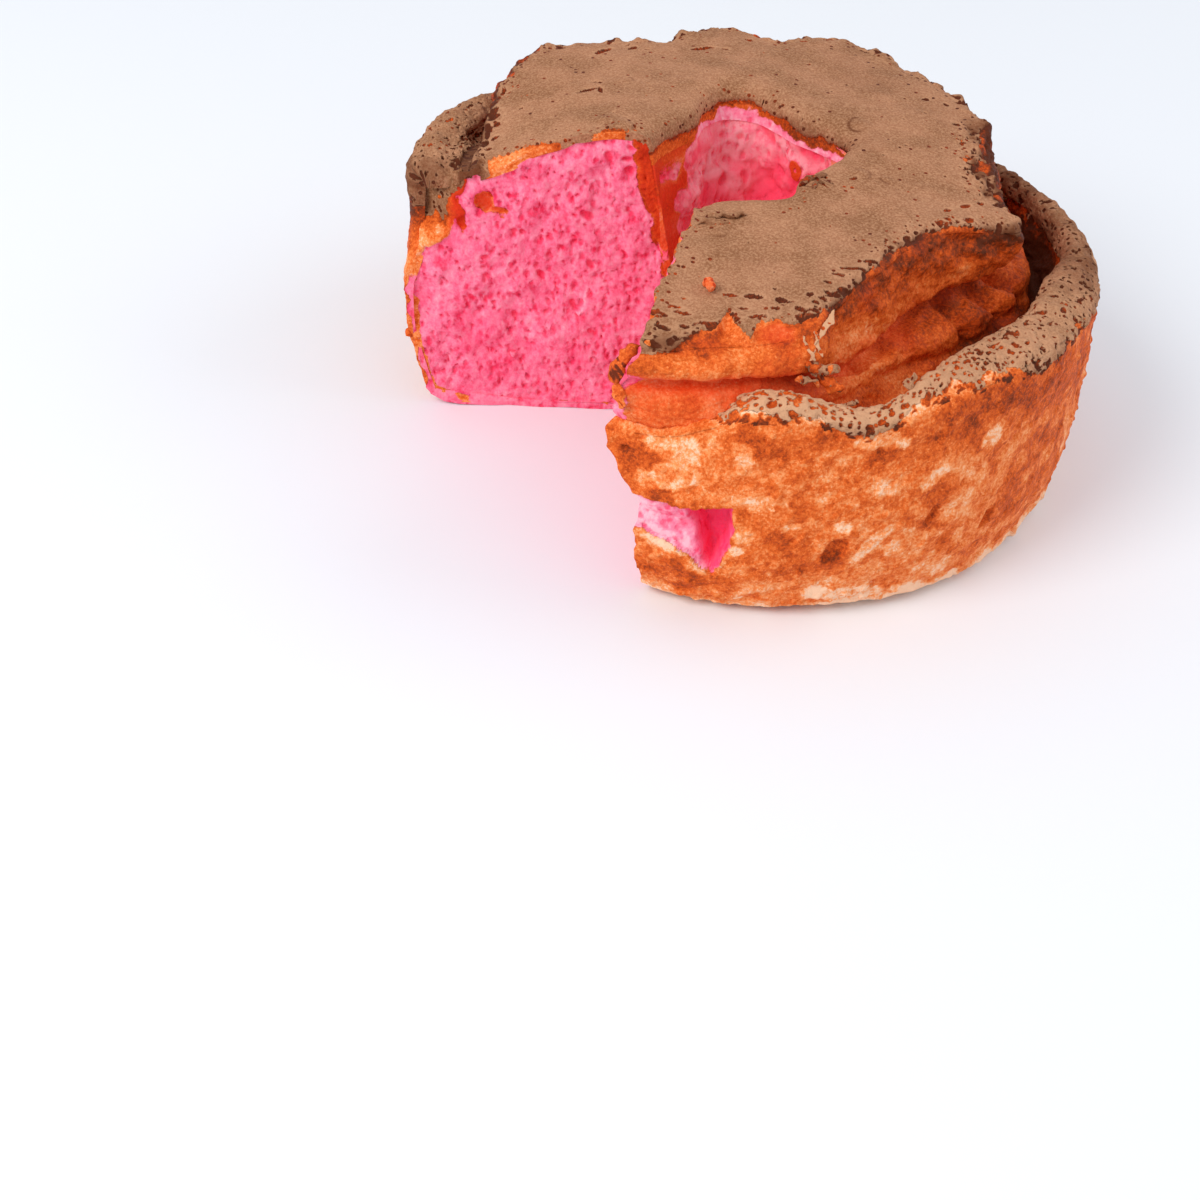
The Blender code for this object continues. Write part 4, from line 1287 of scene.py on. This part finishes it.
# Baked crust without its dry skin, from golden to dark brown, and red where it is moist.
def makeBakedCrust():
    group, given, out = startGroup(
        "bakedCrust", [("Vector", "vector"), ("ToastAndShade", "value"), ("Pale", "value"), ("Red", "value"),
                       ("Grain", "value"), ("PaintedGlint", "value")], [("Color", "colour")])
    b = bakedTones
    patch = noise(group, given["Vector"], b["patch"], 4, 0.6)
    shade = sway(group, given["ToastAndShade"], patch, 0.3)
    shade = sway(group, shade, given["Grain"], -0.28)
    shade = calc(group, "MULTIPLY_ADD", given["Pale"], -0.38, shade)
    # Painted glints: the colour is lightened in flecks where the grain would sparkle.
    shade = calc(group, "MULTIPLY_ADD", given["PaintedGlint"], -0.2, shade)
    colour = rampOf(group, shade, b["golden"])
    share = calc(group, "MULTIPLY", given["Red"], 0.62)
    group.links.new(blendColour(group, share, colour, tone(*b["red"])), out["Color"])
    return group


tanTones = {"plain": (169, 114, 82), "brown": (136, 86, 54), "pale": (226, 172, 132), "pit": (96, 44, 16),
            "mottle": 16.0, "grain": 0.8, "dark": 1.7}


# The dry tan skin of the risen top: where it lies, and its colour, with painted highlights round its pits.
def makeTanSkin():
    group, given, out = startGroup(
        "tanSkin", [("Vector", "vector"), ("Skin", "value"), ("Pit", "value"), ("ToastAndShade", "value"),
                    ("Pale", "value")],
        [("Mask", "value"), ("Open", "value"), ("Color", "colour"), ("Height", "value")])
    t = tanTones
    ragged = calc(group, "SUBTRACT", noise(group, given["Vector"], 1.1, 3, 0.6), 0.5)
    skin = calc(group, "MULTIPLY_ADD", ragged, 2.2, given["Skin"])
    pit = calc(group, "MULTIPLY_ADD", ragged, 0.6, given["Pit"])
    tiny = cells(group, given["Vector"], 2.3)
    near = fade(group, given["Skin"], 8.5, 2.0, 0.84, 0.45)
    chosen = calc(group, "GREATER_THAN", tiny.outputs["Color"], near)
    dot = calc(group, "MULTIPLY", fade(group, tiny.outputs["Distance"], 0.34, 0.26), chosen)
    openEdges = calc(group, "MAXIMUM", fade(group, pit, -0.05, 0.2), dot)
    mask = calc(group, "MULTIPLY", fade(group, skin, -0.15, 0.15), calc(group, "SUBTRACT", 1.0, openEdges))
    group.links.new(mask, out["Mask"])
    group.links.new(calc(group, "MULTIPLY", openEdges, fade(group, skin, -0.6, 0.2)), out["Open"])
    mottle = noise(group, given["Vector"], t["mottle"], 4, 0.55)
    grain = noise(group, given["Vector"], t["grain"], 3, 0.7)
    colour = blendColour(group, fade(group, mottle, 0.35, 0.7), tone(*t["plain"]), tone(*t["brown"]))
    dark = noise(group, given["Vector"], t["dark"], 3, 0.6)
    colour = blendColour(group, fade(group, dark, 0.48, 0.75, 0.0, 0.45), colour, tone(*t["brown"]))
    # The skin is lightened round its pits as a painted highlight, and on its fine grain, partly its own pale
    # grain and partly painted glints.
    paleGrainAndGlint, pitRimHighlight = fade(group, grain, 0.36, 0.7, 0.0, 0.44), fade(group, pit, -0.7, -0.1, 0.0, 0.4)
    light = calc(group, "MAXIMUM", paleGrainAndGlint, pitRimHighlight)
    colour = blendColour(group, light, colour, tone(*t["pale"]))
    colour = blendColour(group, fade(group, given["ToastAndShade"], 0.5, 1.1, 0.0, 0.8), colour, tone(*t["pit"]))
    group.links.new(blendColour(group, given["Pale"], colour, tone(*t["pale"])), out["Color"])
    height = calc(group, "MULTIPLY_ADD", grain, 0.25, calc(group, "MULTIPLY", mask, 0.8))
    group.links.new(height, out["Height"])
    return group


crumbTones = {
    "pink": [
        (0.0, (196, 34, 66)), (0.3, (236, 66, 104)), (0.55, (250, 112, 146)), (0.8, (255, 146, 172)),
        (1.0, (255, 186, 200)),
    ],
    "magenta": (255, 62, 112), "paintedBounce": (255, 100, 92), "inPore": (250, 40, 76),
    "pore": 2.6, "grain": 0.9, "mottle": 2.3,
}


# Pink crumb, with painted shade in its pores: drawn darker and redder there.
def makePinkCrumb():
    group, given, out = startGroup("pinkCrumb", [("Vector", "vector"), ("Pit", "value"), ("Deep", "value"),
                                                 ("Lift", "value")],
                                   [("Color", "colour"), ("Height", "value")])
    c = crumbTones
    stretch = put(group, "ShaderNodeMapping", {"Vector": given["Vector"], "Scale": (1, 1, 0.65)}).outputs[0]
    bend = put(group, "ShaderNodeTexNoise", {"Vector": given["Vector"], "Scale": 0.5, "Detail": 2.0})
    inputs = {0: bend.outputs["Color"], 1: (1.6, 1.6, 1.6), 2: stretch}
    bent = put(group, "ShaderNodeVectorMath", inputs, operation="MULTIPLY_ADD").outputs[0]
    pore = cells(group, bent, c["pore"], "SMOOTH_F1")
    hollow = calc(group, "MULTIPLY", fade(group, pore.outputs["Distance"], 0.5, 0.1),
                  fade(group, pore.outputs["Color"], 0.3, 0.6))
    grain = noise(group, given["Vector"], c["grain"], 3, 0.65)
    mottle = noise(group, stretch, c["mottle"], 3, 0.6)
    broad = noise(group, given["Vector"], 9.0, 3, 0.55)
    shade = sway(group, 0.62, grain, 0.5)
    shade = sway(group, shade, mottle, 1.0)
    shade = sway(group, shade, broad, 0.5)
    # Lift lightens the pink; in the hole and the torn hollow this is painted light.
    shade = calc(group, "MULTIPLY_ADD", given["Lift"], 0.3, shade)
    # Painted shade in the pores and pits: darker, then blended towards red.
    shade = calc(group, "MULTIPLY_ADD", hollow, -0.24, shade)
    shade = calc(group, "MULTIPLY_ADD", fade(group, given["Pit"], -0.6, 0.6), -0.17, shade)
    colour = rampOf(group, shade, c["pink"])
    inPit = fade(group, given["Pit"], -0.5, 0.5, 0.0, 0.5)
    inPore = calc(group, "MAXIMUM", inPit, calc(group, "MULTIPLY", hollow, 0.4))
    colour = blendColour(group, inPore, colour, tone(*c["inPore"]))
    # Deep turns the pink magenta; in the torn hollow this is painted shade.
    colour = blendColour(group, given["Deep"], colour, tone(*c["magenta"]))
    group.links.new(colour, out["Color"])
    height = calc(group, "MULTIPLY_ADD", grain, 0.5, calc(group, "MULTIPLY", hollow, -0.8))
    group.links.new(height, out["Height"])
    return group


groups = {"grain": makeSpongeGrain(), "crust": makeBakedCrust(), "skin": makeTanSkin(),
          "crumb": makePinkCrumb()}


def useGroup(tree, name, inputs):
    return put(tree, "ShaderNodeGroup", inputs, node_tree=groups[name]).outputs


def mark(tree, name):
    return put(tree, "ShaderNodeAttribute", attribute_name=name).outputs["Fac"]


def startMaterial(name):
    material = bpy.data.materials.new(name)
    material.use_nodes = True
    tree = material.node_tree
    shader = tree.nodes["Principled BSDF"]
    coordinates = put(tree, "ShaderNodeTexCoord").outputs["Object"]
    inMillimetres = put(tree, "ShaderNodeVectorMath", {0: coordinates, "Scale": 1 / mm}, operation="SCALE")
    return material, tree, shader, inMillimetres.outputs[0]


def bumpBy(tree, shader, height, strength, distance=0.0006):
    bump = put(tree, "ShaderNodeBump", {"Height": height, "Strength": strength, "Distance": distance})
    tree.links.new(bump.outputs["Normal"], shader.inputs["Normal"])


# Crust with its skin, pits and torn places, all placed by the marks that the mesh carries.
def crustFinish(name, roughness, moistRoughness, bump, toastShift=0.0, specular=0.15, pitShade=0.5, paintedBounce=0.0):
    material, tree, shader, vector = startMaterial(name)
    grain = useGroup(tree, "grain", {"Vector": vector})
    toast = calc(tree, "ADD", mark(tree, "toast"), toastShift)
    skin = useGroup(tree, "skin", {"Vector": vector, "Skin": mark(tree, "skin"), "Pit": mark(tree, "pit"),
                                   "ToastAndShade": toast, "Pale": mark(tree, "pale")})
    # Pits are drawn darker: the browner crust under the skin shows in them, and painted shade lies in the
    # hole.
    inPit = calc(tree, "MAXIMUM", fade(tree, mark(tree, "pit"), -0.5, 0.1), skin["Open"])
    crust = useGroup(tree, "crust", {
        "Vector": vector, "ToastAndShade": calc(tree, "MULTIPLY_ADD", inPit, pitShade, toast),
        "Pale": mark(tree, "pale"),
        "Red": mark(tree, "red"), "Grain": grain["Grain"], "PaintedGlint": grain["PaintedGlint"]})
    crumb = useGroup(tree, "crumb", {"Vector": vector, "Pit": mark(tree, "pit"), "Deep": mark(tree, "red"),
                                     "Lift": mark(tree, "pale")})
    colour = blendColour(tree, skin["Mask"], crust["Color"], skin["Color"])
    bare = fade(tree, sway(tree, mark(tree, "torn"), grain["Grain"], 0.3), 0.35, 0.65)
    crumbColour = crumb["Color"]
    # A salmon tint on the crumb in the hole: painted bounce light from the orange crust round it.
    if paintedBounce:
        crumbColour = blendColour(tree, paintedBounce, crumbColour, tone(*crumbTones["paintedBounce"]))
    colour = blendColour(tree, bare, colour, crumbColour)
    tree.links.new(colour, shader.inputs["Base Color"])
    smoother = calc(tree, "MULTIPLY_ADD", grain["Grain"], 0.12, moistRoughness)
    rough = blendValue(tree, bare, blendValue(tree, skin["Mask"], smoother, roughness), 0.9)
    tree.links.new(rough, shader.inputs["Roughness"])
    height = blendValue(tree, bare, calc(tree, "ADD", grain["Height"], skin["Height"]), crumb["Height"])
    bumpBy(tree, shader, height, bump)
    shader.inputs["Specular IOR Level"].default_value = specular
    return material


finishes = {
    "wallCrust": crustFinish("goldenWall", 0.75, 0.6, 0.9),
    "collarRim": crustFinish("pittedRim", 0.8, 0.6, 1.0),
    "foldCrust": crustFinish("moistFolds", 0.75, 0.55, 0.8, specular=0.14),
    "capCrust": crustFinish("tanCap", 0.75, 0.55, 0.6),
    "tubeWall": crustFinish("tornHoleWall", 0.8, 0.6, 0.9, paintedBounce=0.3),
    "looseBits": crustFinish("looseShreds", 0.8, 0.6, 0.8),
    "underCrust": crustFinish("paleBase", 0.8, 0.7, 0.8, toastShift=-0.1),
}
pink = crustFinish("pinkCrumb", 0.8, 0.6, 0.8, specular=0.1)
for name, piece in pieces.items():
    piece.data.materials.append(finishes.get(name, pink))
print("finishes made")

# Camera, floor and light.
view = {"place": (-0.04174, -0.60838, 0.41075), "down": 39.88, "roll": 5.96, "lens": 58.5}


def addCamera():
    down, roll = math.radians(view["down"]), math.radians(view["roll"])
    ahead = Vector((0, math.cos(down), -math.sin(down)))
    up = Vector((0, math.sin(down), math.cos(down)))
    right = Vector((1, 0, 0))
    turnedRight = right * math.cos(roll) + up * math.sin(roll)
    turnedUp = up * math.cos(roll) - right * math.sin(roll)
    lens = bpy.data.cameras.new("camera")
    lens.lens, lens.sensor_width = view["lens"], 36
    camera = bpy.data.objects.new("camera", lens)
    turn = Matrix((turnedRight, turnedUp, -ahead)).transposed().to_4x4()
    camera.matrix_world = Matrix.Translation(view["place"]) @ turn
    bpy.context.scene.collection.objects.link(camera)
    bpy.context.scene.camera = camera


def addLight(name, position, size, power, colour, target=(0, 0, 0.05)):
    light = bpy.data.lights.new(name, "AREA")
    light.shape, light.size, light.energy, light.color = "DISK", size, power, colour
    lamp = bpy.data.objects.new(name, light)
    lamp.location = position
    lamp.rotation_euler = (Vector(target) - Vector(position)).to_track_quat("-Z", "Y").to_euler()
    bpy.context.scene.collection.objects.link(lamp)


def addFloor():
    mesh = bpy.data.meshes.new("floor")
    half = 12.0
    corners = [(-half, -half, 0), (half, -half, 0), (half, half, 0), (-half, half, 0)]
    mesh.from_pydata(corners, [], [(0, 1, 2, 3)])
    floor = bpy.data.objects.new("floor", mesh)
    bpy.context.scene.collection.objects.link(floor)
    paleFloor = bpy.data.materials.new("paleFloor")
    paleFloor.use_nodes = True
    shader = paleFloor.node_tree.nodes["Principled BSDF"]
    shader.inputs["Base Color"].default_value = (0.86, 0.88, 0.92, 1)
    shader.inputs["Roughness"].default_value = 0.7
    mesh.materials.append(paleFloor)


addCamera()
addFloor()
addLight("window", (-1.0, -0.9, 1.2), 0.9, 17, (1.0, 0.99, 0.97))
addLight("sky", (1.5, 0.3, 1.1), 1.4, 8, (0.98, 0.99, 1.0))
world = bpy.data.worlds.new("softRoom")
world.use_nodes = True
world.node_tree.nodes["Background"].inputs["Color"].default_value = (0.93, 0.96, 1.0, 1)
world.node_tree.nodes["Background"].inputs["Strength"].default_value = 0.72
bpy.context.scene.world = world
bpy.context.scene.view_settings.view_transform = "Standard"
print("camera, floor and light placed")

for piece in pieces.values():
    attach(piece, "root")
    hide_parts("cake")
